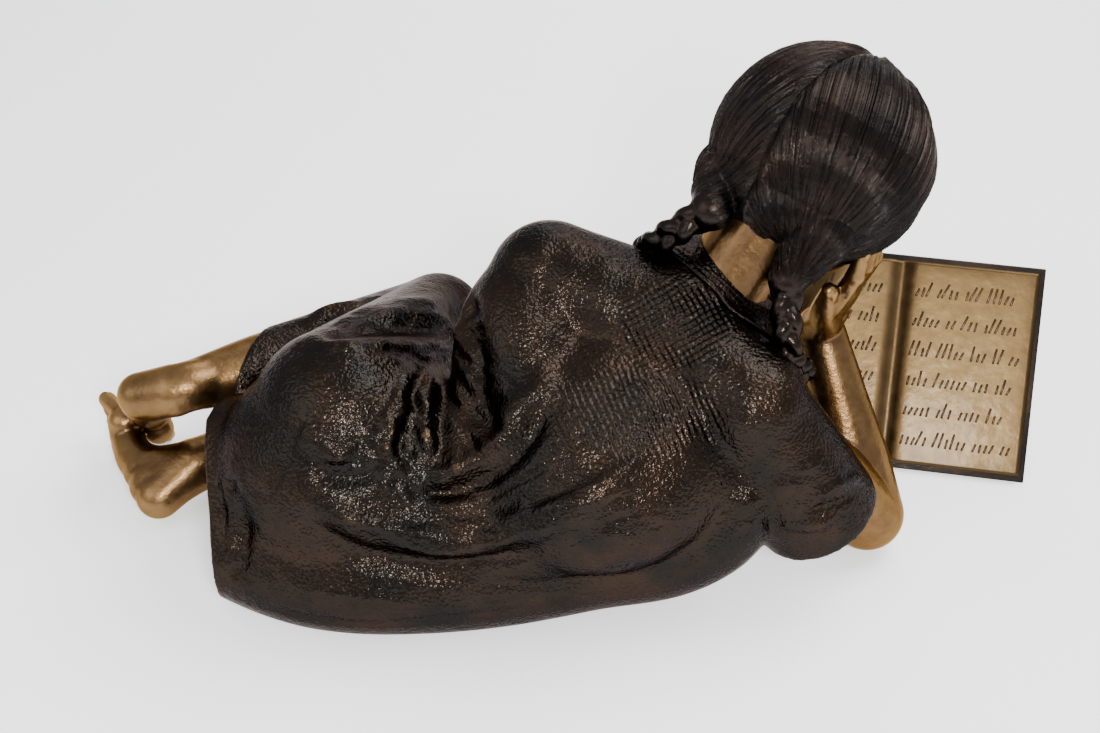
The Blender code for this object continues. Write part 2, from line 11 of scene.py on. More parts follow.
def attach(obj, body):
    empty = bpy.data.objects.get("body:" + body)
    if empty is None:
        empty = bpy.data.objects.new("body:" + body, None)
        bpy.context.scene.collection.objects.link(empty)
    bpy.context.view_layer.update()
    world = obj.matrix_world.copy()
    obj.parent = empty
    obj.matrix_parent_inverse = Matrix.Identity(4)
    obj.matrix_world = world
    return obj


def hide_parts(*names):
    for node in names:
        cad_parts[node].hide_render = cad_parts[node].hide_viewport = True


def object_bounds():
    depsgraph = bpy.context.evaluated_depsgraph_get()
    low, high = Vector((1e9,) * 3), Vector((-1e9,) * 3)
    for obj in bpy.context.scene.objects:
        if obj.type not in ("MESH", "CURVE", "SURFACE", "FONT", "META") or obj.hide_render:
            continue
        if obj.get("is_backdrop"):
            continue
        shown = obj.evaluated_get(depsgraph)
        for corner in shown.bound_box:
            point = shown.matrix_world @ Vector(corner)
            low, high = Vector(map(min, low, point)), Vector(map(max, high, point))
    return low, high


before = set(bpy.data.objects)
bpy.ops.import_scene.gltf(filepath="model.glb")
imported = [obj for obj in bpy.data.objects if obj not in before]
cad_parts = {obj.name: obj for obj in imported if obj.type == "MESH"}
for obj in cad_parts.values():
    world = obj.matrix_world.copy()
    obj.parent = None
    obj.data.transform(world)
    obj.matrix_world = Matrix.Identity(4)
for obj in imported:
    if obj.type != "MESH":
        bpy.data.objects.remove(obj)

cad_low, cad_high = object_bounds()

# Camera
# The photograph is taken from behind the girl and above her, with a short telephoto lens. The statue is
# laid out from a point on the ground under the chest, and every finished piece is moved so that the middle
# of the statue's footprint is at the origin.
FOOTPRINT_MIDDLE = Vector((0.0213, -0.0353, 0.0))
EYE = Vector((0.0, -1.135, 1.082))
LOOK = Vector((0.0, 0.766, -0.643))
PICTURE_UP = Vector((0.0, 0.643, 0.766))
FOCAL_PIXELS, PICTURE_PIXELS, SENSOR_MM = 1600.0, 1100.0, 36.0

bpy.ops.object.select_all(action="DESELECT")
bpy.ops.object.camera_add(location=EYE - FOOTPRINT_MIDDLE, rotation=LOOK.to_track_quat("-Z", "Y").to_euler())
camera = bpy.context.object
camera.data.sensor_width = SENSOR_MM
camera.data.lens = FOCAL_PIXELS / PICTURE_PIXELS * SENSOR_MM
bpy.context.scene.camera = camera

# Dress
# The dress is the body of the casting: thin cloth modelled in wax over the hip, the waist and the shoulders,
# and cast in bronze with its folds, the short sleeves and the open end of the skirt. Its patina is nearly
# black and waxed, red-brown where it is thin, and rubbed to gold on the edges of the folds.
SHOULDER_R = Vector((0.168, -0.137, 0.205))
SHOULDER_L = Vector((0.0, -0.03, 0.25))
ELBOW_R = Vector((0.29, -0.098, 0.036))
ELBOW_L = Vector((0.065, 0.125, 0.12))
NECK_BASE = Vector((0.163, -0.015, 0.25))
CHEST = Vector((0.05, -0.118, 0.158))
PELVIS = Vector((-0.175, -0.118, 0.108))
HIP_L = Vector((-0.18, -0.11, 0.165))
HIP_R = Vector((-0.2, -0.125, 0.065))
KNEE_L = Vector((-0.11, 0.098, 0.108))
KNEE_R = Vector((-0.095, 0.09, 0.048))
ANKLE_L = Vector((-0.34, -0.042, 0.136))
ANKLE_R = Vector((-0.335, -0.038, 0.042))
HEM_POINT = Vector((-0.298, -0.1, 0.1))
HEM_NORMAL = Vector((-0.97, 0.24, 0.03)).normalized()
HEM_NEAR_NORMAL = Vector((-1.0, -0.08, 0.0)).normalized()
HEM_DEPTH = 0.022
HEM_WALL = 0.007
DRESS_VOXEL, DRESS_ROUNDS, CREASE_ROUNDS = 0.0033, 25, 2
RIDGE_ROUNDS, RIDGE = 12, 0.0022
PICTURE_DISTANCE = 1.481
PATCH_SCALE, GRAIN_SCALE, GRAIN_WEAR, GRAIN_ROUGH = 14.0, 90.0, 1.6, 0.25
COAT_ROUGHNESS = 0.12
HAMMER_SCALE, HAMMER_DEPTH = 60.0, 0.0018
WEAVE_SCALE, WEAVE_DEPTH = 340.0, 0.0012
COMB_PERIOD, WOVEN_PERIOD, TOOL_DEPTH = 0.006, 0.0056, 0.0004


def ball(centre, radii, axes=None):
    """An ellipsoid. axes holds the directions of its three radii."""
    bpy.ops.mesh.primitive_uv_sphere_add(segments=40, ring_count=20, radius=1.0)
    obj = bpy.context.object
    turn = Matrix.Identity(3)
    if axes:
        turn = Matrix([Vector(a).normalized() for a in axes]).transposed()
    obj.data.transform(Matrix.Translation(Vector(centre)) @ turn.to_4x4() @ Matrix.Diagonal((*radii, 1.0)))
    return obj


def weld():
    """Joins the points of the active mesh that lie on one another, and turns its faces outward."""
    bpy.ops.object.mode_set(mode="EDIT")
    bpy.ops.mesh.select_all(action="SELECT")
    bpy.ops.mesh.remove_doubles(threshold=0.00005)
    bpy.ops.mesh.normals_make_consistent(inside=False)
    bpy.ops.object.mode_set(mode="OBJECT")


def limb(points, radii, cap_balls=True):
    """A tapered tube on a smooth curve through the points, with round ends."""
    data = bpy.data.curves.new("limb", "CURVE")
    data.dimensions = "3D"
    data.resolution_u = 10
    data.bevel_depth = 1.0
    data.bevel_resolution = 8
    data.use_fill_caps = True
    spline = data.splines.new("BEZIER")
    spline.bezier_points.add(len(points) - 1)
    for knot, point, radius in zip(spline.bezier_points, points, radii):
        knot.co = point
        knot.radius = radius
        knot.handle_left_type = knot.handle_right_type = "AUTO"
    tube = bpy.data.objects.new("limb", data)
    bpy.context.collection.objects.link(tube)
    bpy.ops.object.select_all(action="DESELECT")
    tube.select_set(True)
    bpy.context.view_layer.objects.active = tube
    bpy.ops.object.convert(target="MESH")
    solid = bpy.context.object
    weld()
    if cap_balls:
        solid = joined([solid] + [ball(points[i], (radii[i],) * 3) for i in (0, -1)])
    return solid


def joined(pieces):
    bpy.ops.object.select_all(action="DESELECT")
    for obj in pieces:
        obj.select_set(True)
    bpy.context.view_layer.objects.active = pieces[0]
    if len(pieces) > 1:
        bpy.ops.object.join()
    return pieces[0]


def modified(obj, kind, **settings):
    """Applies one modifier with these settings."""
    bpy.context.view_layer.objects.active = obj
    modifier = obj.modifiers.new("change", kind)
    for name, value in settings.items():
        setattr(modifier, name, value)
    bpy.ops.object.modifier_apply(modifier="change")


def soften(obj, rounds):
    """Evens out the surface, further with more rounds."""
    modified(obj, "SMOOTH", factor=0.5, iterations=rounds)


def fused(name, pieces, voxel, rounds):
    """Overlapping forms made one closed skin, with the hollows between them softened."""
    obj = joined(pieces)
    obj.name = name
    modified(obj, "REMESH", mode="VOXEL", voxel_size=voxel)
    soften(obj, rounds)
    return obj


def read(obj, what):
    """The places or the normals of all points, one row each."""
    flat = np.empty(len(obj.data.vertices) * 3)
    obj.data.vertices.foreach_get(what, flat)
    return flat.reshape(-1, 3)


def move(obj, points):
    """Puts the points of the piece at these places."""
    obj.data.vertices.foreach_set("co", np.ascontiguousarray(points).ravel())
    obj.data.update()


def push(obj, distance):
    """Moves every point along its normal."""
    move(obj, read(obj, "co") + read(obj, "normal") * distance[:, None])


def smoothstep(low, high, value):
    t = np.clip((value - low) / (high - low), 0.0, 1.0)
    return t * t * (3.0 - 2.0 * t)


def smooth_line(path, steps=8):
    """A smooth curve through the points (Catmull-Rom)."""
    p = np.array([path[0], *path, path[-1]], float)
    out = []
    for i in range(1, len(p) - 2):
        for t in np.arange(steps) / steps:
            out.append(
                0.5 * (2 * p[i] + (p[i + 1] - p[i - 1]) * t
                       + (2 * p[i - 1] - 5 * p[i] + 4 * p[i + 1] - p[i + 2]) * t ** 2
                       + (3 * p[i] - p[i - 1] - 3 * p[i + 1] + p[i + 2]) * t ** 3)
            )
    out.append(p[-2])
    return np.array(out)


def along(path, places):
    """Distance from each place to a drawn line, and the share of the line's length there."""
    line = smooth_line(path)
    best = np.full(len(places), np.inf)
    share = np.zeros(len(places))
    lengths = np.linalg.norm(np.diff(line, axis=0), axis=1)
    walked = 0.0
    for start, end, length in zip(line[:-1], line[1:], lengths):
        way = (end - start) / length
        off = places - start
        t = np.clip(off @ way, 0.0, length)
        distance = np.linalg.norm(off - t[:, None] * way, axis=1)
        nearer = distance < best
        best[nearer] = distance[nearer]
        share[nearer] = (walked + t[nearer]) / lengths.sum()
        walked += length
    return best, share


def drawn(strokes, places):
    """The height that strokes give each place: each is a path, a width and a height, and fades out."""
    height = np.zeros(len(places))
    for path, width, rise in strokes:
        box_low = np.min(path, axis=0) - 3.5 * width
        box_high = np.max(path, axis=0) + 3.5 * width
        near = np.all((places > box_low) & (places < box_high), axis=1)
        distance, share = along(path, places[near])
        fade = smoothstep(0.0, 0.18, share) * smoothstep(0.0, 0.18, 1.0 - share)
        height[near] += rise * fade * np.exp(-((distance / width) ** 2))
    return height


def seen(points):
    """Where points show in the photograph's view, in metres on a plane at the statue's distance."""
    away = points - np.array(EYE)
    depth = away @ np.array(LOOK)
    return PICTURE_DISTANCE * np.stack([away[:, 0] / depth, away @ np.array(PICTURE_UP) / depth], axis=1)


def facing_viewer(obj):
    """1 where the surface looks towards the camera, falling to 0 where it looks away."""
    to_eye = np.array(EYE) - read(obj, "co")
    to_eye /= np.linalg.norm(to_eye, axis=1)[:, None]
    return smoothstep(0.0, 0.35, (read(obj, "normal") * to_eye).sum(axis=1))


def convexity(obj, rounds):
    """How far each point stands out of its surroundings: above 0 on ridges, below 0 in hollows."""
    points = read(obj, "co")
    ends = np.empty(len(obj.data.edges) * 2, int)
    obj.data.edges.foreach_get("vertices", ends)
    a, b, n = ends[::2], ends[1::2], len(points)
    count = np.maximum(np.bincount(a, minlength=n) + np.bincount(b, minlength=n), 1)
    soft = points
    for _ in range(rounds):
        sums = [np.bincount(a, soft[b, k], n) + np.bincount(b, soft[a, k], n) for k in range(3)]
        soft = np.stack(sums, axis=1) / count[:, None]
    return ((points - soft) * read(obj, "normal")).sum(axis=1)


def keep(obj, name, values):
    """Stores a value or a vector for each point, which the materials read."""
    kind, key = ("FLOAT_VECTOR", "vector") if values.ndim == 2 else ("FLOAT", "value")
    layer = obj.data.attributes.new(name, kind, "POINT")
    layer.data.foreach_set(key, np.ascontiguousarray(values, dtype=np.float32).ravel())


def millimetres(strokes):
    """Turns strokes that are given in millimetres into metres."""
    return [([(x / 1000, y / 1000) for x, y in path], width / 1000, rise / 1000)
            for path, width, rise in strokes]


# Folds that face the photograph: points in the drawn view, then width and height, in millimetres
FOLDS = millimetres([
    # the deep cleft where the waist bends over the hip
    ([(-88, 85), (-78, 50), (-70, 15), (-67, -30), (-40, -72)], 12, -9.5),
    # the roll of cloth that sweeps from the ribs down over the hip
    ([(9, 1), (-19, -31), (-42, -63), (-74, -91), (-112, -103)], 13, 9.5),
    ([(0, -30), (-30, -78), (-75, -110), (-140, -122)], 10, -8),
    # gathers that hang from the waist over the hip
    ([(-130, 6), (-140, -35), (-153, -77), (-157, -91)], 7, 6),
    ([(-120, 2), (-129, -40), (-138, -85)], 7, -5),
    ([(-108, 0), (-112, -45), (-118, -96)], 8, 4),
    ([(-97, -4), (-100, -45), (-104, -98)], 7, -4),
    ([(-86, -4), (-88, -50), (-92, -100)], 8, 4),
    # the shell-shaped crease under the thigh
    ([(-222, -94), (-195, -103), (-168, -101), (-152, -86)], 8, -6),
    ([(-235, -62), (-208, -72), (-185, -90)], 14, 7),
    # long folds round the back of the hip
    ([(-231, -105), (-185, -142), (-92, -165), (9, -137), (93, -87)], 14, 9),
    ([(-240, -130), (-190, -165), (-92, -185), (20, -160)], 10, -6),
    # folds along the top of the skirt
    ([(-231, 43), (-180, 50), (-130, 55), (-85, 60)], 9, 6),
    ([(-220, 30), (-170, 36), (-120, 38), (-88, 35)], 8, -6),
    ([(-215, 15), (-165, 19), (-115, 20)], 9, 5),
    # the turned edge above the hem
    ([(-308, -96), (-294, -124), (-284, -150), (-288, -180), (-296, -207)], 9, -6),
    # gathers of the sleeve
    ([(180, -110), (190, -135), (196, -165)], 10, 2.2),
    ([(205, -105), (222, -130), (235, -155)], 10, 2.2),
    ([(240, -85), (258, -103), (272, -122)], 10, 2.2),
])

FINE_FOLDS = millimetres([
    # crease that runs down from the waist
    ([(-93, 9), (-91, -31), (-79, -59), (-63, -86)], 3.2, -3),
    # gathers at the waist
    ([(-135, -16), (-146, -36), (-154, -51), (-166, -74)], 4.2, 3.5),
    ([(-137, -50), (-134, -72), (-126, -88)], 4.2, 3),
    ([(-127, -48), (-121, -74), (-108, -88)], 3.2, -3),
    ([(-152, -66), (-144, -87), (-133, -103)], 4.6, 3),
    ([(-111, -29), (-117, -50), (-111, -70)], 3.7, 2.5),
    ([(-88, -26), (-78, -33), (-67, -27), (-63, -12)], 3.2, 2.5),
    ([(-74, 20), (-69, 6), (-77, -17)], 4.2, 3),
    ([(-48, -3), (-37, -29), (-48, -54)], 6.5, 2.5),
    ([(-81, -36), (-65, -48), (-46, -42)], 3.2, -2),
    # folds round the far thigh
    ([(-165, 17), (-130, 13), (-111, 4), (-94, 20), (-85, 29)], 3.2, -3),
    ([(-171, 50), (-120, 50), (-94, 41), (-85, 23)], 4.2, 2.5),
    ([(-231, 45), (-185, 60), (-139, 63), (-102, 60)], 3.2, 2),
    ([(-241, 29), (-194, 41), (-139, 43)], 3.2, -2),
    ([(-204, 4), (-167, 8), (-134, 4)], 3.7, 1.8),
    # the edges of the roll
    ([(-120, -138), (-74, -131), (-28, -107), (9, -85)], 3.2, -3),
    ([(-46, -144), (9, -125), (65, -96), (102, -68)], 4.2, 2.5),
    ([(-206, -130), (-185, -141), (-139, -150), (-97, -157)], 4.6, 3),
    ([(-185, -153), (-139, -171), (-97, -180), (-42, -175)], 3.2, -2.5),
    ([(-204, -142), (-167, -157), (-111, -168), (-56, -165)], 2.8, -1.5),
    # soft drapes over the back
    ([(14, 119), (-5, 80), (-9, 34)], 9.3, -2),
    ([(56, 112), (46, 62), (56, 6)], 12, 1.8),
    ([(97, 62), (83, 15), (46, -40)], 11.1, -1.6),
    ([(139, 25), (139, -31), (111, -87)], 13, 1.6),
    ([(194, 6), (204, -50), (185, -105)], 11.1, -1.6),
    # ridges at the end of the right sleeve
    ([(243, -122), (263, -112), (287, -100)], 4.2, 3),
    ([(231, -135), (263, -128), (287, -114)], 3.2, -2.5),
    ([(213, -144), (239, -149), (264, -138)], 4.2, 3),
    ([(180, -142), (208, -155), (231, -159)], 3.7, 2),
    # the hanging edge of the hem
    ([(-311, -96), (-297, -119), (-294, -165), (-300, -202)], 3.7, 2.5),
    ([(-304, -124), (-302, -161), (-305, -188)], 3.2, -2),
    ([(-278, -212), (-236, -229), (-162, -238), (-83, -230), (-9, -224)], 2.3, -1.8),
    # low folds near the ground
    ([(-231, -205), (-194, -212), (-120, -220), (-65, -227)], 4.6, 1.8),
    ([(-74, -202), (9, -200), (83, -184)], 4.6, -1.8),
    # shell-shaped crease
    ([(-227, -86), (-204, -92), (-183, -91), (-168, -79)], 2.8, -2.5),
])

# Where the cloth is creased small: middle and radii in the drawn view, lean, size of the lumps, their height
CREASED = [
    ((-0.122, -0.075), (0.07, 0.062), math.radians(-62.0), 0.015, 0.008),
    ((-0.08, -0.02), (0.05, 0.07), math.radians(-50.0), 0.017, 0.008),
    ((-0.04, -0.15), (0.2, 0.045), math.radians(12.0), 0.019, 0.0055),
    ((0.225, -0.125), (0.085, 0.05), math.radians(35.0), 0.012, 0.004),
    ((-0.15, 0.035), (0.12, 0.045), math.radians(5.0), 0.016, 0.006),
    ((-0.275, -0.15), (0.05, 0.09), math.radians(80.0), 0.012, 0.004),
]


def dress_forms():
    across = (SHOULDER_L - SHOULDER_R).normalized()
    chest_axes = (across, (0.618, 0.702, 0.351), (0.0, -0.447, 0.894))
    middle = (SHOULDER_L + SHOULDER_R) * 0.5 + Vector((0.01, 0.015, 0.0))
    sleeve_l = SHOULDER_L.lerp(ELBOW_L, 0.58)
    return [
        ball(CHEST, (0.124, 0.137, 0.083), chest_axes),
        limb([SHOULDER_R, middle, SHOULDER_L], [0.048, 0.058, 0.054]),
        limb([middle, NECK_BASE], [0.06, 0.048]),
        limb([SHOULDER_L, (-0.018, -0.062, 0.216), (-0.01, -0.12, 0.15)], [0.052, 0.064, 0.075]),
        limb([SHOULDER_R, (0.203, -0.143, 0.142), (0.236, -0.141, 0.08)], [0.046, 0.052, 0.056], False),
        limb([SHOULDER_L, SHOULDER_L.lerp(ELBOW_L, 0.3), sleeve_l], [0.052, 0.05, 0.047], False),
        limb([(0.15, -0.145, 0.128), (0.13, -0.155, 0.092), (0.03, -0.162, 0.064), (-0.1, -0.172, 0.054),
              (-0.2, -0.164, 0.052), (-0.31, -0.116, 0.05)], [0.055, 0.058, 0.06, 0.065, 0.066, 0.06]),
        limb([CHEST, (-0.065, -0.125, 0.105), PELVIS], [0.081, 0.088, 0.1]),
        limb([(0.135, -0.14, 0.128), (0.05, -0.153, 0.11), (-0.06, -0.155, 0.098), (-0.15, -0.14, 0.1)],
             [0.058, 0.068, 0.072, 0.075]),
        limb([(0.06, -0.09, 0.06), (-0.06, -0.11, 0.05), (-0.2, -0.11, 0.05)], [0.05, 0.062, 0.06]),
        ball(PELVIS, (0.12, 0.1, 0.115)),
        limb([HIP_L, KNEE_L], [0.078, 0.046]),
        limb([HIP_R, KNEE_R], [0.07, 0.052]),
        limb([KNEE_L, KNEE_L.lerp(ANKLE_L, 0.9) - Vector((0.0, 0.0, 0.005))], [0.044, 0.035]),
        limb([KNEE_R, KNEE_R.lerp(ANKLE_R, 0.95)], [0.052, 0.042]),
        ball((-0.2, -0.01, 0.08), (0.125, 0.095, 0.072)),
        ball((-0.27, -0.1, 0.078), (0.085, 0.07, 0.085)),
        limb([KNEE_L.lerp(KNEE_R, 0.5), (-0.2, 0.032, 0.084), (-0.32, -0.035, 0.088)], [0.056, 0.056, 0.05]),
    ]


def crumple(picture, centre, radii, lean, size, height):
    """Soft lumps with sharp creases between them, in an oval patch, longer along the lean."""
    off = picture - centre
    reach = np.linalg.norm(off / radii, axis=1)
    lumps = np.zeros(len(off))
    lengthways = off @ (math.cos(lean), math.sin(lean)) / (2.2 * size)
    sideways = off @ (-math.sin(lean), math.cos(lean)) / size
    for i in np.nonzero(reach < 1.0)[0]:
        spot = Vector((lengthways[i], sideways[i], size * 100))
        lumps[i] = abs(mathutils.noise.noise(spot)) + 0.25 * abs(mathutils.noise.noise(spot * 2.3)) - 0.22
    return lumps * height * smoothstep(1.0, 0.5, reach)


def open_hem(obj):
    """Cuts the cloth off at two planes and sinks the end, so that an edge of cloth is left."""
    bm = bmesh.new()
    bm.from_mesh(obj.data)
    for cut in (HEM_NORMAL, HEM_NEAR_NORMAL):
        everything = [*bm.verts, *bm.edges, *bm.faces]
        bmesh.ops.bisect_plane(bm, geom=everything, plane_co=HEM_POINT, plane_no=cut, clear_outer=True)
    bm.normal_update()
    rim = [e for e in bm.edges if e.is_boundary]
    inward = {}
    for v in {v for e in rim for v in e.verts}:
        flat = v.normal - HEM_NORMAL * v.normal.dot(HEM_NORMAL)
        inward[v] = -flat.normalized() * HEM_WALL
    inner = bmesh.ops.extrude_edge_only(bm, edges=rim)["geom"]
    for v in [g for g in inner if isinstance(g, bmesh.types.BMVert)]:
        v.co += inward[min(inward, key=lambda old: (old.co - v.co).length_squared)]
    edges = [g for g in inner if isinstance(g, bmesh.types.BMEdge)]
    bottom = bmesh.ops.extrude_edge_only(bm, edges=edges)["geom"]
    for v in [g for g in bottom if isinstance(g, bmesh.types.BMVert)]:
        v.co -= HEM_NORMAL * HEM_DEPTH
    bmesh.ops.holes_fill(bm, edges=[g for g in bottom if isinstance(g, bmesh.types.BMEdge)])
    bmesh.ops.recalc_face_normals(bm, faces=bm.faces)
    bm.to_mesh(obj.data)
    bm.free()


def settle(obj):
    """Moves the piece to its place on the footprint, and presses what reaches out onto the solids' box."""
    move(obj, np.clip(read(obj, "co") - np.array(FOOTPRINT_MIDDLE), np.array(cad_low), np.array(cad_high)))
    obj.data.shade_smooth()


def feed(tree, value, socket):
    """Links a socket to another node's output, or sets its value."""
    if isinstance(value, bpy.types.NodeSocket):
        tree.links.new(value, socket)
    else:
        socket.default_value = value


def linked(tree, kind, **inputs):
    """A node whose inputs are given by name, as values or as other nodes' outputs."""
    node = tree.nodes.new(kind)
    for name, value in inputs.items():
        socket = node.inputs[int(name[1:])] if name[0] == "i" and name[1:].isdigit() else node.inputs[name]
        feed(tree, value, socket)
    return node


def ramp(tree, value, *stops):
    """A colour ramp with a stop for each (place, grey or colour)."""
    node = linked(tree, "ShaderNodeValToRGB", Fac=value)
    bar = node.color_ramp
    while len(bar.elements) < len(stops):
        bar.elements.new(0.5)
    for element, (place, colour) in zip(bar.elements, stops):
        element.position = place
        element.color = (*colour, 1.0) if isinstance(colour, tuple) else (colour, colour, colour, 1.0)
    return node.outputs["Color"]


def mixed(tree, share, first, second):
    """Two colours mixed by a share."""
    node = tree.nodes.new("ShaderNodeMix")
    node.data_type = "RGBA"
    for socket, value in ((node.inputs[0], share), (node.inputs[6], first), (node.inputs[7], second)):
        feed(tree, (*value, 1.0) if isinstance(value, tuple) else value, socket)
    return node.outputs[2]


def maths(tree, operation, *values, clamp=False):
    node = tree.nodes.new("ShaderNodeMath")
    node.operation = operation
    node.use_clamp = clamp
    for socket, value in zip(node.inputs, values):
        feed(tree, value, socket)
    return node.outputs[0]


def attribute(tree, name, output="Fac"):
    node = tree.nodes.new("ShaderNodeAttribute")
    node.attribute_name = name
    return node.outputs[output]


def noise(tree, place, scale, detail=4.0, roughness=0.55):
    node = linked(tree, "ShaderNodeTexNoise", Vector=place, Scale=scale, Detail=detail, Roughness=roughness)
    return node.outputs["Fac"]


def bump(tree, height, distance, under=None, strength=1.0):
    node = linked(tree, "ShaderNodeBump", Height=height, Distance=distance, Strength=strength)
    if under is not None:
        tree.links.new(under, node.inputs["Normal"])
    return node.outputs["Normal"]


def relieved(tree, shader, relief):
    """Gives the metal and the wax on it the same relief."""
    for socket in ("Normal", "Coat Normal"):
        tree.links.new(relief, shader.inputs[socket])


def patina(name, dark, thin, rubbed, gold_from, gold_to, roughness, coat, edge=(0.4, 0.34, 0.3, 1.0)):
    """Patinated bronze: a dark coat, thinner patches of another colour, and bare metal where rubbed, and
    where light is painted on the pages.
    """
    finish = bpy.data.materials.new(name)
    finish.use_nodes = True
    tree = finish.node_tree
    place = tree.nodes.new("ShaderNodeTexCoord").outputs["Object"]
    patches = ramp(tree, noise(tree, place, PATCH_SCALE, 6.0, 0.6), (0.38, 0.0), (0.7, 1.0))
    colour = mixed(tree, patches, dark, thin)
    grain = noise(tree, place, GRAIN_SCALE, 5.0, 0.65)
    uneven = maths(tree, "MULTIPLY", maths(tree, "SUBTRACT", grain, 0.5), GRAIN_WEAR)
    toward_gold = maths(tree, "ADD", attribute(tree, "wear_and_painted_light"), uneven)
    bare = ramp(tree, maths(tree, "MULTIPLY", toward_gold, 0.25), (gold_from / 4, 0.0), (gold_to / 4, 1.0))
    colour = mixed(tree, bare, colour, rubbed)
    shader = tree.nodes["Principled BSDF"]
    tree.links.new(colour, shader.inputs["Base Color"])
    shader.inputs["Metallic"].default_value = 1.0
    shader.inputs["Specular Tint"].default_value = edge
    rough = maths(tree, "ADD", maths(tree, "MULTIPLY", grain, GRAIN_ROUGH), roughness - 0.12)
    tree.links.new(rough, shader.inputs["Roughness"])
    shader.inputs["Coat Weight"].default_value = coat
    shader.inputs["Coat Roughness"].default_value = COAT_ROUGHNESS
    return finish, tree, place, shader


def tooled_lines(tree, drawn_place, across, period, centre, radii):
    """Parallel lines pressed into the wax with a comb, in an oval patch of the drawn view."""
    dot = tree.nodes.new("ShaderNodeVectorMath")
    dot.operation = "DOT_PRODUCT"
    tree.links.new(drawn_place, dot.inputs[0])
    dot.inputs[1].default_value = [c * 2 * math.pi / period for c in (*across, 0.0)]
    wobble = maths(tree, "MULTIPLY", noise(tree, drawn_place, 18.0, 2.0), 9.0)
    lines = maths(tree, "SINE", maths(tree, "ADD", dot.outputs["Value"], wobble))
    patch = linked(tree, "ShaderNodeMapping", Vector=drawn_place, Scale=(1 / radii[0], 1 / radii[1], 1.0))
    patch.inputs["Location"].default_value = (-centre[0] / radii[0], -centre[1] / radii[1], 0.0)
    reach = tree.nodes.new("ShaderNodeVectorMath")
    reach.operation = "LENGTH"
    tree.links.new(patch.outputs["Vector"], reach.inputs[0])
    ragged = maths(tree, "MULTIPLY", noise(tree, drawn_place, 40.0), 0.7)
    border = maths(tree, "ADD", reach.outputs["Value"], ragged)
    inside = ramp(tree, maths(tree, "MULTIPLY", border, 0.5), (0.55, 1.0), (0.72, 0.0))
    return maths(tree, "MULTIPLY", lines, inside)


dress = fused("dress", dress_forms(), DRESS_VOXEL, DRESS_ROUNDS)
open_hem(dress)
for strokes in (FOLDS, FINE_FOLDS):
    push(dress, drawn(strokes, seen(read(dress, "co"))) * facing_viewer(dress))
picture = seen(read(dress, "co"))
creased = np.zeros(len(picture))
for patch in CREASED:
    creased += crumple(picture, *patch)
push(dress, creased * facing_viewer(dress))
soften(dress, CREASE_ROUNDS)
keep(dress, "wear_and_painted_light", convexity(dress, RIDGE_ROUNDS) / RIDGE)
keep(dress, "drawn", np.pad(seen(read(dress, "co")), ((0, 0), (0, 1))))
settle(dress)
finish, tree, place, shader = patina(
    "waxed dark patina", (0.008, 0.0064, 0.005), (0.026, 0.0145, 0.0085), (0.17, 0.1, 0.046),
    gold_from=1.4, gold_to=5.6, roughness=0.31, coat=0.15
)
picture = attribute(tree, "drawn", "Vector")
hammered = bump(tree, noise(tree, place, HAMMER_SCALE, 3.0), HAMMER_DEPTH)
cloth = bump(tree, noise(tree, place, WEAVE_SCALE, 1.0, 0.5), WEAVE_DEPTH, hammered)
combed = tooled_lines(tree, picture, (0.917, 0.4), COMB_PERIOD, (0.082, -0.042), (0.084, 0.044))
woven = [tooled_lines(tree, picture, way, WOVEN_PERIOD, (0.115, 0.036), (0.054, 0.044))
         for way in ((0.47, -0.88), (0.88, 0.47))]
relief = maths(tree, "ADD", maths(tree, "ADD", *woven), combed)
relieved(tree, shader, bump(tree, relief, TOOL_DEPTH, cloth))
dress.data.materials.append(finish)
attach(dress, "root")
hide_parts("reading_girl")

# Head and neck
# The neck leaves the collar and the head is bent over the book. The face is calm, with lowered lids. It is
# cast with the rest, and its skin is polished to a golden brown and waxed.
HEAD = Vector((0.235, 0.03, 0.335))
FACING = Vector((0.465, 0.541, -0.7)).normalized()
HEAD_UP = Vector((0.52, 0.475, 0.71)).normalized()
HER_LEFT = HEAD_UP.cross(FACING).normalized()
HEAD_AXES = (FACING, HER_LEFT, HEAD_UP)
HEAD_VOXEL, HEAD_ROUNDS = 0.0017, 14
SKIN_ROUNDS = 36
SKIN_GRAIN, GRAIN_DEPTH = 260.0, 0.0004
NOSTRIL_DEPTH = 0.0032


def head_point(forward, left, up):
    """A place in the head's own directions, from its centre."""
    return HEAD + FACING * forward + HER_LEFT * left + HEAD_UP * up


def head_places(obj):
    """Forward, left and up of every point, in the head's own directions."""
    return (read(obj, "co") - np.array(HEAD)) @ np.array([list(a) for a in HEAD_AXES]).T


def mirrored(strokes):
    return strokes + [([(-left, up) for left, up in path], width, rise) for path, width, rise in strokes]


# Strokes of the face: left and up from the middle of the face, then width and height
FACE_BOTH_SIDES = [
    # brow, lid crease, lash line and the hollow under the eye
    ([(0.009, 0.013), (0.02, 0.019), (0.034, 0.019), (0.048, 0.01)], 0.004, 0.0009),
    ([(0.013, -0.003), (0.022, 0.004), (0.033, 0.005), (0.044, -0.003)], 0.0016, -0.0008),
    ([(0.012, -0.01), (0.02, -0.0155), (0.031, -0.017), (0.042, -0.0125), (0.048, -0.006)],
     0.0012, -0.0016),
    ([(0.014, -0.017), (0.024, -0.0225), (0.036, -0.0205)], 0.003, -0.0003),
    # wing of the nose
    ([(0.013, -0.032), (0.0155, -0.038), (0.013, -0.043)], 0.0013, -0.0016),
    # the soft fold from the nose to the mouth
    ([(0.017, -0.044), (0.023, -0.053), (0.026, -0.062)], 0.004, -0.0003),
    # the edges of the upper lip and of the ridge over it
    ([(0.0015, -0.054), (0.006, -0.0528), (0.013, -0.0565), (0.02, -0.0605)], 0.0014, 0.0008),
]
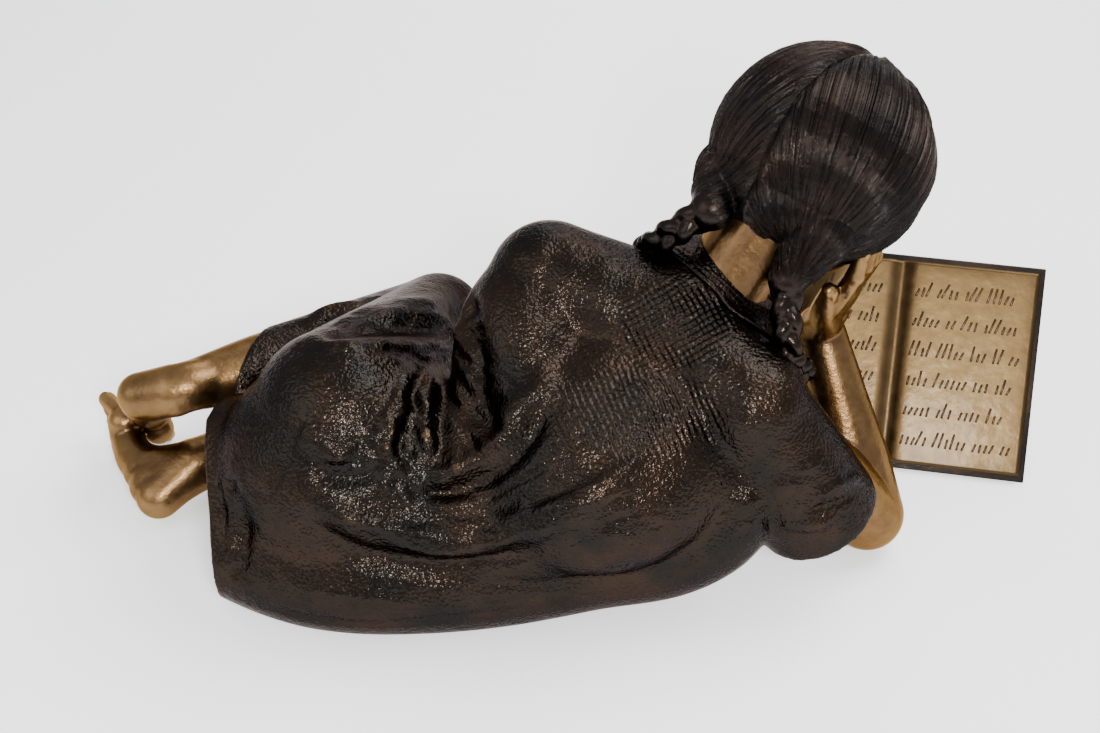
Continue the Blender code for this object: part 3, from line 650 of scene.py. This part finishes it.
FACE_MIDDLE = [
    # the mouth, the lower lip, the hollow under it and the groove under the nose
    ([(-0.023, -0.0612), (-0.011, -0.06), (0.0, -0.0612), (0.011, -0.06), (0.023, -0.0612)],
     0.0011, -0.003),
    ([(-0.016, -0.0665), (0.0, -0.068), (0.016, -0.0665)], 0.0034, 0.0022),
    ([(-0.014, -0.0745), (0.0, -0.076), (0.014, -0.0745)], 0.0042, -0.0018),
    ([(0.0, -0.0455), (0.0, -0.0535)], 0.002, -0.0011),
]

forms = [
    ball(head_point(0.0, 0.0, 0.006), (0.084, 0.07, 0.08), HEAD_AXES),
    ball(head_point(0.03, 0.0, -0.04), (0.056, 0.058, 0.058), HEAD_AXES),
    ball(head_point(0.062, 0.0, -0.084), (0.021, 0.023, 0.016), HEAD_AXES),
    ball(head_point(0.066, 0.0, -0.061), (0.022, 0.026, 0.016), HEAD_AXES),
    limb([head_point(0.074, 0.0, 0.006), head_point(0.082, 0.0, -0.012), head_point(0.0915, 0.0, -0.033)],
         [0.0055, 0.0055, 0.0072]),
    limb([NECK_BASE - Vector((0.03, 0.035, 0.02)), head_point(-0.03, 0.0, -0.06)], [0.037, 0.043]),
]
for side in (-1, 1):
    forms += [
        ball(head_point(0.044, 0.027 * side, -0.036), (0.034, 0.033, 0.034), HEAD_AXES),
        ball(head_point(0.06, 0.03 * side, -0.008), (0.015, 0.017, 0.014), HEAD_AXES),
        ball(head_point(0.083, 0.0092 * side, -0.037), (0.0072, 0.0058, 0.0058), HEAD_AXES),
        limb([head_point(0.057, 0.048 * side, 0.012), head_point(0.07, 0.03 * side, 0.018),
              head_point(0.075, 0.01 * side, 0.013)], [0.005, 0.0065, 0.006]),
    ]
head = fused("head_and_neck", forms, HEAD_VOXEL, HEAD_ROUNDS)
places = head_places(head)
front = smoothstep(0.03, 0.055, places[:, 0]) * smoothstep(0.0, 0.3, read(head, "normal") @ np.array(FACING))
push(head, drawn(mirrored(FACE_BOTH_SIDES) + FACE_MIDDLE, places[:, 1:]) * front)
places = head_places(head)
nostrils = np.zeros(len(places))
for side in (-1, 1):
    off = (places - np.array([0.086, 0.0058 * side, -0.0425])) / np.array([0.006, 0.003, 0.0026])
    nostrils -= NOSTRIL_DEPTH * np.exp(-(off ** 2).sum(axis=1))
push(head, nostrils)
keep(head, "wear_and_painted_light", convexity(head, SKIN_ROUNDS) / 0.003)
settle(head)
skin, tree, place, shader = patina(
    "golden skin", (0.125, 0.068, 0.028), (0.07, 0.036, 0.015), (0.36, 0.215, 0.082),
    gold_from=-0.6, gold_to=3.4, roughness=0.33, coat=0.16, edge=(0.7, 0.52, 0.34, 1.0)
)
relieved(tree, shader, bump(tree, noise(tree, place, SKIN_GRAIN, 4.0, 0.6), GRAIN_DEPTH))
head.data.materials.append(skin)
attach(head, "root")
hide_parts("reading_girl")

# Hair
# The hair is parted from the forehead to the nape and combed down on each side to the root of a plait. One
# plait falls over the right shoulder to the hand, the other over the left. The strands are tooled in the wax.
HAIR_VOXEL, HAIR_ROUNDS = 0.0016, 5
PLAIT_RADIUS = 0.0145
PARTING_DEPTH, PARTING_WIDTH = 0.0035, 0.004
PLAIT_ROOT = (-0.041, 0.049, -0.1)
PLAIT_TURN, PLAIT_STEP, PLAIT_WIDE, PLAIT_DEEP = 4.6, 0.45, 0.5, 0.3
# Strands round the root of a plait: how many, their shift and their height
STRANDS = ((13, 2.0, 0.001), (31, 0.4, 0.0008), (67, 1.9, 0.0006), (103, 0.0, 0.0006))
STRAND_LOST, STRAND_CLEAR = 0.003, 0.0046
FINE_STRANDS, FINE_DEPTH = 34.0, 0.0036


def plait(route, thickness):
    """Three strands plaited round one another along the route, with a tuft under the tie."""
    line = smooth_line([tuple(p) for p in route], 24)
    steps = np.linalg.norm(np.diff(line, axis=0), axis=1)
    walked = np.concatenate([[0.0], np.cumsum(steps)])
    count = int(walked[-1] / (thickness * PLAIT_STEP))
    made = []
    for strand in range(3):
        points = []
        for i in range(count + 1):
            gone = walked[-1] * i / count
            here = Vector([np.interp(gone, walked, line[:, k]) for k in range(3)])
            ahead = Vector([np.interp(gone + 0.004, walked, line[:, k]) for k in range(3)])
            behind = Vector([np.interp(gone - 0.004, walked, line[:, k]) for k in range(3)])
            aside = (ahead - behind).cross(LOOK).normalized()
            towards = (ahead - behind).cross(aside).normalized()
            phase = 2 * math.pi * (gone / (thickness * PLAIT_TURN) + strand / 3)
            points.append(here + aside * thickness * PLAIT_WIDE * math.sin(phase)
                          + towards * thickness * PLAIT_DEEP * math.sin(2 * phase))
        radii = [thickness * 0.5 * (1.0 - 0.25 * i / count) for i in range(count + 1)]
        made.append(limb(points, radii))
    end = Vector(route[-1])
    way = (end - Vector(route[-2])).normalized()
    tuft = [thickness * 0.55, thickness * 0.75, thickness * 0.3]
    made.append(limb([end, end + way * 0.014, end + way * 0.03], tuft))
    return made


cap = ball(head_point(-0.01, 0.0, 0.002), (0.1, 0.095, 0.094), HEAD_AXES)
face_opening = ball(head_point(0.115, 0.0, -0.048), (0.105, 0.095, 0.122), HEAD_AXES)
modified(cap, "BOOLEAN", operation="DIFFERENCE", object=face_opening)
bpy.data.objects.remove(face_opening, do_unlink=True)
forms = [
    cap,
    ball(head_point(-0.045, 0.0, -0.045), (0.048, 0.07, 0.045), HEAD_AXES),
    limb([head_point(-0.042, -0.05, -0.058), (0.196, -0.076, 0.286)], [0.03, 0.016]),
    limb([head_point(-0.048, 0.048, -0.052), (0.133, -0.04, 0.332)], [0.028, 0.018]),
    *plait([(0.196, -0.076, 0.286), (0.196, -0.098, 0.255), (0.2, -0.105, 0.226), (0.216, -0.085, 0.195),
            (0.22, -0.055, 0.165)], PLAIT_RADIUS),
    *plait([(0.138, -0.04, 0.334), (0.112, -0.042, 0.318), (0.088, -0.03, 0.288), (0.084, 0.0, 0.262),
            (0.09, 0.03, 0.232), (0.1, 0.055, 0.19)], PLAIT_RADIUS),
]
hair = fused("hair", forms, HAIR_VOXEL, HAIR_ROUNDS)
places = head_places(hair)
far = np.linalg.norm(places, axis=1)
on_head = smoothstep(0.07, 0.082, far) * smoothstep(0.134, 0.122, far)
left = places[:, 1]
groove = -PARTING_DEPTH * np.exp(-((left / PARTING_WIDTH) ** 2)) * smoothstep(-0.07, -0.05, places[:, 2])
comb = np.zeros(len(places))
strand = np.zeros((len(places), 3))
for side in (-1, 1):
    root = np.array(PLAIT_ROOT) * (1, side, 1)
    root /= np.linalg.norm(root)
    first = np.cross(root, [0.0, side, 0.0])
    first /= np.linalg.norm(first)
    turn = np.arctan2(places @ np.cross(root, first), places @ first)
    off_root = np.linalg.norm(places - (places @ root)[:, None] * root, axis=1)
    here = left * side > 0
    strand[here] = np.stack([np.cos(turn), np.sin(turn), off_root * 12 + 10 * side], axis=1)[here]
    for number, shift, height in STRANDS:
        spacing = 2 * math.pi * off_root / number
        clear = smoothstep(STRAND_LOST, STRAND_CLEAR, spacing)
        comb += here * clear * height * np.cos(number * turn + shift)
comb *= smoothstep(0.002, 0.01, np.abs(left))
push(hair, (groove + comb) * on_head)
keep(hair, "wear_and_painted_light", convexity(hair, 5) / 0.0012)
keep(hair, "strand", strand)
keep(hair, "combed", on_head)
settle(hair)
finish, tree, place, shader = patina(
    "brown-black hair patina", (0.009, 0.007, 0.006), (0.024, 0.014, 0.01), (0.32, 0.22, 0.12),
    gold_from=1.3, gold_to=3.4, roughness=0.27, coat=0.16
)
parts = linked(tree, "ShaderNodeSeparateXYZ", Vector=attribute(tree, "strand", "Vector")).outputs
way_round = maths(tree, "MULTIPLY", maths(tree, "ARCTAN2", parts["Y"], parts["X"]), FINE_STRANDS)
lengthways = linked(tree, "ShaderNodeCombineXYZ", X=way_round, Y=parts["Z"]).outputs["Vector"]
fine = maths(tree, "MULTIPLY", noise(tree, lengthways, 1.0, 3.0, 0.7), attribute(tree, "combed"))
grained = bump(tree, noise(tree, place, 300.0, 4.0, 0.6), GRAIN_DEPTH)
relieved(tree, shader, bump(tree, fine, FINE_DEPTH, grained))
hair.data.materials.append(finish)
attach(hair, "root")
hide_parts("reading_girl")

# Arms and hands
# The right elbow stands on the ground and the right hand holds up the cheek. The left arm reaches down to the
# ground behind the book. They are cast with the rest and left golden brown.
WRIST_R = Vector((0.243, -0.012, 0.185))
WRIST_L = Vector((0.182, 0.108, 0.024))
ARM_VOXEL, ARM_ROUNDS = 0.0018, 8
NAIL_GROOVE, NAIL_RISE = 0.0007, 0.0003
# Place across the hand, knuckle and reach of each finger, from the first to the little one
FINGERS = ((1.5, 0.54, 0.93), (0.5, 0.57, 1.0), (-0.5, 0.55, 0.95), (-1.5, 0.5, 0.82))


def hand(wrist, tips, palm_facing, thumb_side, spread):
    """A relaxed hand. palm_facing is where the palm looks, and thumb_side is +1 or -1 across the fingers."""
    wrist, tips = Vector(wrist), Vector(tips)
    length = (tips - wrist).length
    way = (tips - wrist).normalized()
    palm_facing = (Vector(palm_facing) - way * way.dot(Vector(palm_facing))).normalized()
    across = palm_facing.cross(way) * thumb_side
    finger = length * 0.066
    made = [
        ball(wrist + way * length * 0.33, (length * 0.32, length * 0.215, length * 0.105),
             (way, across, palm_facing)),
        limb([wrist - way * length * 0.05, wrist + way * length * 0.2], [length * 0.145, length * 0.13]),
    ]
    nails = []
    for place, knuckle, reach in FINGERS:
        root = wrist + way * length * (knuckle - 0.16) + across * place * finger * 2.15
        bend = wrist + way * length * (knuckle + 0.17) + across * place * finger * (2.1 + spread)
        tip = wrist + way * length * reach + across * place * finger * (2.0 + spread * 1.6)
        tip += palm_facing * length * 0.05
        made.append(limb([root, bend, tip], [finger * 1.15, finger * 1.08, finger * 0.85]))
        made.append(ball(bend - palm_facing * finger * 0.1, (finger * 1.16,) * 3))
        nails.append((tip, (tip - bend).normalized(), palm_facing, finger))
    heel = wrist - way * length * 0.25
    mount = wrist + way * length * 0.1 + across * length * 0.08
    ball_joint = wrist + way * length * 0.32 + across * length * 0.25 + palm_facing * length * 0.04
    tip = wrist + way * length * 0.55 + across * length * 0.33 + palm_facing * length * 0.08
    thumb = [finger * 2.4, finger * 2.2, finger * 1.6, finger * 1.05]
    made.append(limb([heel, mount, ball_joint, tip], thumb))
    nails.append((tip, (tip - ball_joint).normalized(), palm_facing, finger * 1.15))
    return made, nails


def cut_nails(obj, nails):
    """A shallow groove round each nail, on the side away from the palm or the sole."""
    points = read(obj, "co")
    outward = read(obj, "normal")
    height = np.zeros(len(points))
    for tip, way, under, size in nails:
        way = np.array(way)
        up = -np.array(under)
        up -= way * up.dot(way)
        up /= np.linalg.norm(up)
        off = points - np.array(tip)
        lengthwise = (off @ way + size * 0.15) / (size * 0.95)
        sideways = off @ np.cross(way, up) / (size * 0.72)
        ring = np.sqrt(lengthwise ** 2 + sideways ** 2)
        on_top = smoothstep(0.1, 0.5, outward @ up) * (np.linalg.norm(off, axis=1) < size * 2.0)
        groove = NAIL_GROOVE * np.exp(-(((ring - 1.0) / 0.22) ** 2))
        height += on_top * (NAIL_RISE * smoothstep(1.0, 0.7, ring) - groove)
    push(obj, height)


right_hand, right_nails = hand(WRIST_R, (0.284, -0.022, 0.292), (-0.84, 0.52, 0.15), -1, 0.02)
left_hand, left_nails = hand(WRIST_L, (0.275, 0.062, 0.014), (-0.05, 0.0, -1.0), -1, 0.25)
forms = [
    limb([SHOULDER_R.lerp(ELBOW_R, 0.35), SHOULDER_R.lerp(ELBOW_R, 0.6), ELBOW_R], [0.036, 0.035, 0.034]),
    limb([ELBOW_R.lerp(WRIST_R, t) for t in (0.0, 0.3, 0.65, 1.0)], [0.034, 0.033, 0.0265, 0.0215]),
    limb([SHOULDER_L.lerp(ELBOW_L, 0.4), ELBOW_L], [0.034, 0.031]),
    limb([ELBOW_L.lerp(WRIST_L, t) for t in (0.0, 0.4, 1.0)], [0.031, 0.029, 0.017]),
    *right_hand,
    *left_hand,
]
arms = fused("arms_and_hands", forms, ARM_VOXEL, ARM_ROUNDS)
cut_nails(arms, right_nails + left_nails)
keep(arms, "wear_and_painted_light", convexity(arms, SKIN_ROUNDS) / 0.002)
settle(arms)
arms.data.materials.append(skin)
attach(arms, "root")
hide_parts("reading_girl")

# Legs and feet
# The shins come out of the end of the skirt. The left foot stands on its toes and the right one lies on its
# outer side. They are cast with the rest, in the same golden brown as the arms.
LEG_VOXEL, LEG_ROUNDS = 0.0017, 26
SHIN_END = 0.82
TOE_STEP, TOE_SHORTER = 0.0105, 0.11


def foot(shin, ankle, heel, toe_root, toe_tip, to_little_toe, sole_facing):
    """A bare foot. to_little_toe points across it from the big toe."""
    shin, ankle, heel, toe_root, toe_tip = (Vector(v) for v in (shin, ankle, heel, toe_root, toe_tip))
    across = Vector(to_little_toe).normalized()
    sole = Vector(sole_facing).normalized()
    arch = heel.lerp(toe_root, 0.5) - sole * 0.006
    made = [
        limb([ankle, heel], [0.0245, 0.0215]),
        limb([shin, ankle.lerp(heel, 0.6), heel], [0.0235, 0.0225, 0.02]),
        limb([shin, ankle, heel.lerp(toe_root, 0.18)], [0.023, 0.0235, 0.022]),
        limb([shin, ankle, heel.lerp(toe_root, 0.4)], [0.0225, 0.0235, 0.0205]),
        limb([ankle, arch, toe_root], [0.022, 0.0185, 0.0135]),
        limb([heel, heel.lerp(toe_root, 0.55) + across * 0.01, toe_root + across * 0.012],
             [0.0195, 0.0165, 0.0135]),
        limb([toe_root - across * 0.014, toe_root + across * 0.019], [0.0155, 0.0125]),
        limb([ankle.lerp(heel, 0.35), heel.lerp(toe_root, 0.5), toe_root], [0.021, 0.0195, 0.0145]),
        ball(ankle + across * 0.012, (0.0115,) * 3),
        ball(ankle - across * 0.012, (0.0115,) * 3),
    ]
    nails = []
    for number in range(5):
        start = toe_root + across * (TOE_STEP * number - 0.017)
        reach = (toe_tip - toe_root) * (1.0 - TOE_SHORTER * number)
        size = 0.0088 if number == 0 else 0.0066 - 0.0004 * number
        points = [start, start + reach * 0.6 - sole * 0.002, start + reach]
        made.append(limb(points, [size, size * 0.95, size * 0.95]))
        nails.append((start + reach, reach.normalized(), sole, size))
    return made, nails


left_foot, left_nails = foot(
    KNEE_L.lerp(ANKLE_L, SHIN_END), ANKLE_L, (-0.372, -0.038, 0.127), (-0.388, 0.034, 0.038),
    (-0.39, 0.06, 0.01), (-0.24, 0.44, 0.4), (-0.85, -0.5, 0.1))
right_foot, right_nails = foot(
    KNEE_R.lerp(ANKLE_R, SHIN_END), ANKLE_R, (-0.366, -0.066, 0.026), (-0.413, 0.012, 0.034),
    (-0.435, 0.04, 0.036), (-0.08, -0.1, -0.87), (-0.845, -0.53, 0.0))
forms = [
    limb([KNEE_L.lerp(ANKLE_L, t) for t in (0.35, 0.7, 1.0)], (0.036, 0.031, 0.0215)),
    limb([KNEE_R.lerp(ANKLE_R, t) for t in (0.35, 0.7, 1.0)], (0.036, 0.03, 0.0215)),
    *left_foot,
    *right_foot,
]
legs = fused("legs_and_feet", forms, LEG_VOXEL, LEG_ROUNDS)
cut_nails(legs, left_nails + right_nails)
keep(legs, "wear_and_painted_light", convexity(legs, 50) / 0.002)
settle(legs)
legs.data.materials.append(skin)
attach(legs, "root")
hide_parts("reading_girl")

# Collar
# A folded band of cloth round the neck of the dress, with a double row of stitching near its lower edge. It
# is cast with the dress and has the same dark patina.
COLLAR_RADIUS, COLLAR_SPREAD = 0.0475, 0.036
COLLAR_RISE, COLLAR_DROP = 0.01, 0.014
COLLAR_THICK, COLLAR_LIFT = 0.003, 0.0022
STITCH_ROWS, STITCH_WIDTH, STITCH_DEPTH = (0.74, 0.86), 0.028, 0.0011
neck_way = (HEAD - NECK_BASE).normalized()
neck_side = neck_way.cross(Vector((0.0, 1.0, 0.0))).normalized()
neck_other = neck_way.cross(neck_side)

bpy.ops.object.select_all(action="DESELECT")
bpy.ops.mesh.primitive_grid_add(x_subdivisions=160, y_subdivisions=26, size=2.0)
collar = bpy.context.object
collar.name = "collar"
for v in collar.data.vertices:
    turn, share = math.pi * v.co.x, (1.0 - v.co.y) / 2
    radial = neck_side * math.cos(turn) + neck_other * math.sin(turn)
    free = NECK_BASE + neck_way * (COLLAR_RISE - (COLLAR_RISE + COLLAR_DROP) * share)
    free += radial * (COLLAR_RADIUS + COLLAR_SPREAD * share)
    _, on_cloth, outward, _ = dress.closest_point_on_mesh(free - FOOTPRINT_MIDDLE)
    stitch = sum(STITCH_DEPTH * math.exp(-(((share - row) / STITCH_WIDTH) ** 2)) for row in STITCH_ROWS)
    laid = on_cloth + FOOTPRINT_MIDDLE + outward * (COLLAR_LIFT + 0.0012 * (share > 0.68) - stitch)
    free += radial * 0.001
    v.co = free.lerp(laid, float(smoothstep(0.05, 0.42, share)))
weld()
modified(collar, "SOLIDIFY", thickness=COLLAR_THICK, offset=-1.0)
modified(collar, "SUBSURF", levels=1, render_levels=1)
keep(collar, "wear_and_painted_light", convexity(collar, 10) / RIDGE)
keep(collar, "drawn", np.pad(seen(read(collar, "co")), ((0, 0), (0, 1))))
settle(collar)
collar.data.materials.append(dress.data.materials[0])
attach(collar, "root")
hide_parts("reading_girl")

# Book
# An open book stands on the ground and leans back. Each half has a block of pages, which rounds down into the
# gutter, on a dark cover that stands out all round. The pages are golden bronze, painted lighter in the
# middle and with painted brown shade towards the gutter and the borders.
BOOK_FOOT = Vector((0.324, 0.002, 0.0))
BOOK_YAW = math.radians(-10.0)
BOOK_LEAN = math.radians(42.0)
PAGE_WIDTH = 0.13
PAGE_HEIGHT = 0.197
PAGE_THICK = 0.008
COVER_THICK = 0.004
COVER_RIM = 0.006
GUTTER_WIDTH = 0.014
GUTTER_DEPTH = 0.005

book_across = Vector((math.cos(BOOK_YAW), math.sin(BOOK_YAW), 0.0))
book_away = Vector((-math.sin(BOOK_YAW), math.cos(BOOK_YAW), 0.0))
book_up = book_away * math.sin(BOOK_LEAN) + Vector((0, 0, math.cos(BOOK_LEAN)))
book_out = book_across.cross(book_up)
book_middle = BOOK_FOOT + book_up * (PAGE_HEIGHT / 2 + COVER_RIM)
book_place = Matrix.Translation(book_middle) @ Matrix((book_across, book_out, book_up)).transposed().to_4x4()


def page_face(across):
    """How far the page stands out from the cover at that distance from the gutter."""
    t = min(abs(across) / GUTTER_WIDTH, 1.0)
    return PAGE_THICK - GUTTER_DEPTH * (1.0 - math.sin(t * math.pi / 2))


def plate(name, half_width, half_height, low, high):
    """A flat board between two distances out, in the book's place."""
    bpy.ops.object.select_all(action="DESELECT")
    bpy.ops.mesh.primitive_cube_add(size=1.0)
    board = bpy.context.object
    board.name = name
    board.data.transform(Matrix.Translation((0, (low + high) / 2, 0))
                         @ Matrix.Diagonal((2 * half_width, high - low, 2 * half_height, 1.0)))
    return board


def bevelled(obj, width, segments=3):
    modified(obj, "BEVEL", width=width, segments=segments, limit_method="ANGLE")


cover = plate("book_cover", PAGE_WIDTH + COVER_RIM, PAGE_HEIGHT / 2 + COVER_RIM, -COVER_THICK, 0.0005)
bevelled(cover, 0.0012)
cover.data.transform(book_place)
keep(cover, "wear_and_painted_light", np.zeros(len(cover.data.vertices)))
settle(cover)
finish, tree, place, shader = patina(
    "black cover patina", (0.012, 0.01, 0.009), (0.03, 0.02, 0.014), (0.3, 0.2, 0.1),
    gold_from=0.9, gold_to=1.5, roughness=0.42, coat=0.2
)
relieved(tree, shader, bump(tree, noise(tree, place, 200.0, 4.0, 0.6), GRAIN_DEPTH))
cover.data.materials.append(finish)
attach(cover, "root")
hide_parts("open_book")

pages = plate("book_pages", PAGE_WIDTH, PAGE_HEIGHT / 2, 0.0, PAGE_THICK)
bpy.ops.object.mode_set(mode="EDIT")
bpy.ops.mesh.select_all(action="SELECT")
bpy.ops.mesh.subdivide(number_cuts=60)
bpy.ops.object.mode_set(mode="OBJECT")
points = read(pages, "co")
gutter = np.array([page_face(x) for x in points[:, 0]])
points[:, 1] *= gutter / PAGE_THICK
move(pages, points)
# Painted light and shade on the page faces: gold in the middle, with painted brown shade towards the gutter
# and the outer borders. The sides of the block stay dark.
off_gutter = np.abs(points[:, 0])
inner = smoothstep(0.004, 0.03, off_gutter) * smoothstep(PAGE_WIDTH, PAGE_WIDTH - 0.016, off_gutter)
inner *= smoothstep(PAGE_HEIGHT / 2, PAGE_HEIGHT / 2 - 0.014, np.abs(points[:, 2]))
pages.data.transform(book_place)
keep(pages, "wear_and_painted_light", (0.5 + 1.5 * inner) * (points[:, 1] > 0.0005))
settle(pages)
# The gold colour is the painted lit middle of the pages, and the browns are their painted shade.
finish, tree, place, shader = patina(
    "golden page bronze", (0.062, 0.037, 0.016), (0.04, 0.022, 0.01), (0.108, 0.07, 0.029),
    gold_from=0.2, gold_to=2.8, roughness=0.4, coat=0.06, edge=(0.45, 0.33, 0.2, 1.0)
)
relieved(tree, shader, bump(tree, noise(tree, place, 60.0, 4.0, 0.5), GRAIN_DEPTH))
pages.data.materials.append(finish)
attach(pages, "root")
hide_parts("open_book")

# Rows of strokes
# Shallow slanting strokes stand in rows on both pages, where a picture book has its lines. They are cast with
# the pages and stand out less than a millimetre, and their patina is left dark.
ROWS, ROW_TOP, ROW_STEP = 6, 0.072, 0.029
STROKE_TALL, STROKE_WIDE, STROKE_OUT = 0.0155, 0.0021, 0.0013
STROKE_STEP, MARGIN_IN, MARGIN_OUT = 0.0054, 0.016, 0.009
draw = random.Random(7)
marks = []
for half in (-1, 1):
    for row in range(ROWS):
        reach = PAGE_WIDTH - MARGIN_OUT - draw.uniform(0.0, 0.014)
        spot = MARGIN_IN if half > 0 else MARGIN_IN + 0.004
        in_word = draw.randint(3, 6)
        while spot < reach:
            if in_word == 0:
                in_word = draw.randint(2, 6)
                spot += STROKE_STEP * 0.9
                continue
            in_word -= 1
            tall = STROKE_TALL * draw.choice((0.55, 0.62, 1.0))
            mark = plate("mark", STROKE_WIDE / 2, tall / 2, -0.0006, STROKE_OUT - 0.0006)
            bevelled(mark, 0.0005, 2)
            lean = math.radians(draw.uniform(8.0, 24.0))
            low = ROW_TOP - ROW_STEP * row - (STROKE_TALL - tall) / 2
            upright = Matrix.Translation((half * spot, page_face(spot), low))
            mark.data.transform(upright @ Matrix.Rotation(lean, 4, "Y"))
            marks.append(mark)
            spot += STROKE_STEP
rows = joined(marks)
rows.name = "stroke_rows"
rows.data.transform(book_place)
keep(rows, "wear_and_painted_light", np.zeros(len(rows.data.vertices)))
settle(rows)
finish, tree, place, shader = patina(
    "dark stroke patina", (0.03, 0.018, 0.01), (0.075, 0.042, 0.02), (0.3, 0.2, 0.1),
    gold_from=0.9, gold_to=3.0, roughness=0.42, coat=0.1
)
rows.data.materials.append(finish)
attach(rows, "root")
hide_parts("open_book")

# Studio
# A pale floor that runs out of view and glows a little, so that it stays nearly white. A large soft light
# stands above and to the right, weaker ones on the left and behind, and a small one near the camera for the
# sharp glints. The surround is even and pale.
FLOOR_SIZE, FLOOR_GLOW, SURROUND = 80.0, 0.6, 0.95
bpy.ops.object.select_all(action="DESELECT")
bpy.ops.mesh.primitive_plane_add(size=FLOOR_SIZE, location=(0, 0, -0.0005))
floor = bpy.context.object
floor.name = "floor"
white = bpy.data.materials.new("pale floor")
white.use_nodes = True
inputs = white.node_tree.nodes["Principled BSDF"].inputs
inputs["Base Color"].default_value = (0.92, 0.92, 0.92, 1.0)
inputs["Roughness"].default_value = 0.9
inputs["Emission Color"].default_value = (1.0, 1.0, 1.0, 1.0)
inputs["Emission Strength"].default_value = FLOOR_GLOW
floor.data.materials.append(white)
floor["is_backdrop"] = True

world = bpy.data.worlds.new("studio")
bpy.context.scene.world = world
world.use_nodes = True
inputs = world.node_tree.nodes["Background"].inputs
inputs["Color"].default_value = (0.95, 0.97, 1.0, 1.0)
inputs["Strength"].default_value = SURROUND
for name, spot, size, power in (
    ("key", (0.9, 0.3, 1.7), 1.1, 34.0),
    ("fill", (-1.3, -0.8, 1.3), 1.4, 14.0),
    ("back", (0.2, 1.8, 1.3), 1.2, 20.0),
    ("flash", (0.25, -1.5, 1.35), 0.3, 36.0),
):
    bpy.ops.object.light_add(type="AREA", location=spot)
    lamp = bpy.context.object
    lamp.name = name
    lamp.data.size = size
    lamp.data.energy = power
    lamp.rotation_euler = (Vector((0.0, 0.0, 0.15)) - Vector(spot)).to_track_quat("-Z", "Y").to_euler()

low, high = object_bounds()
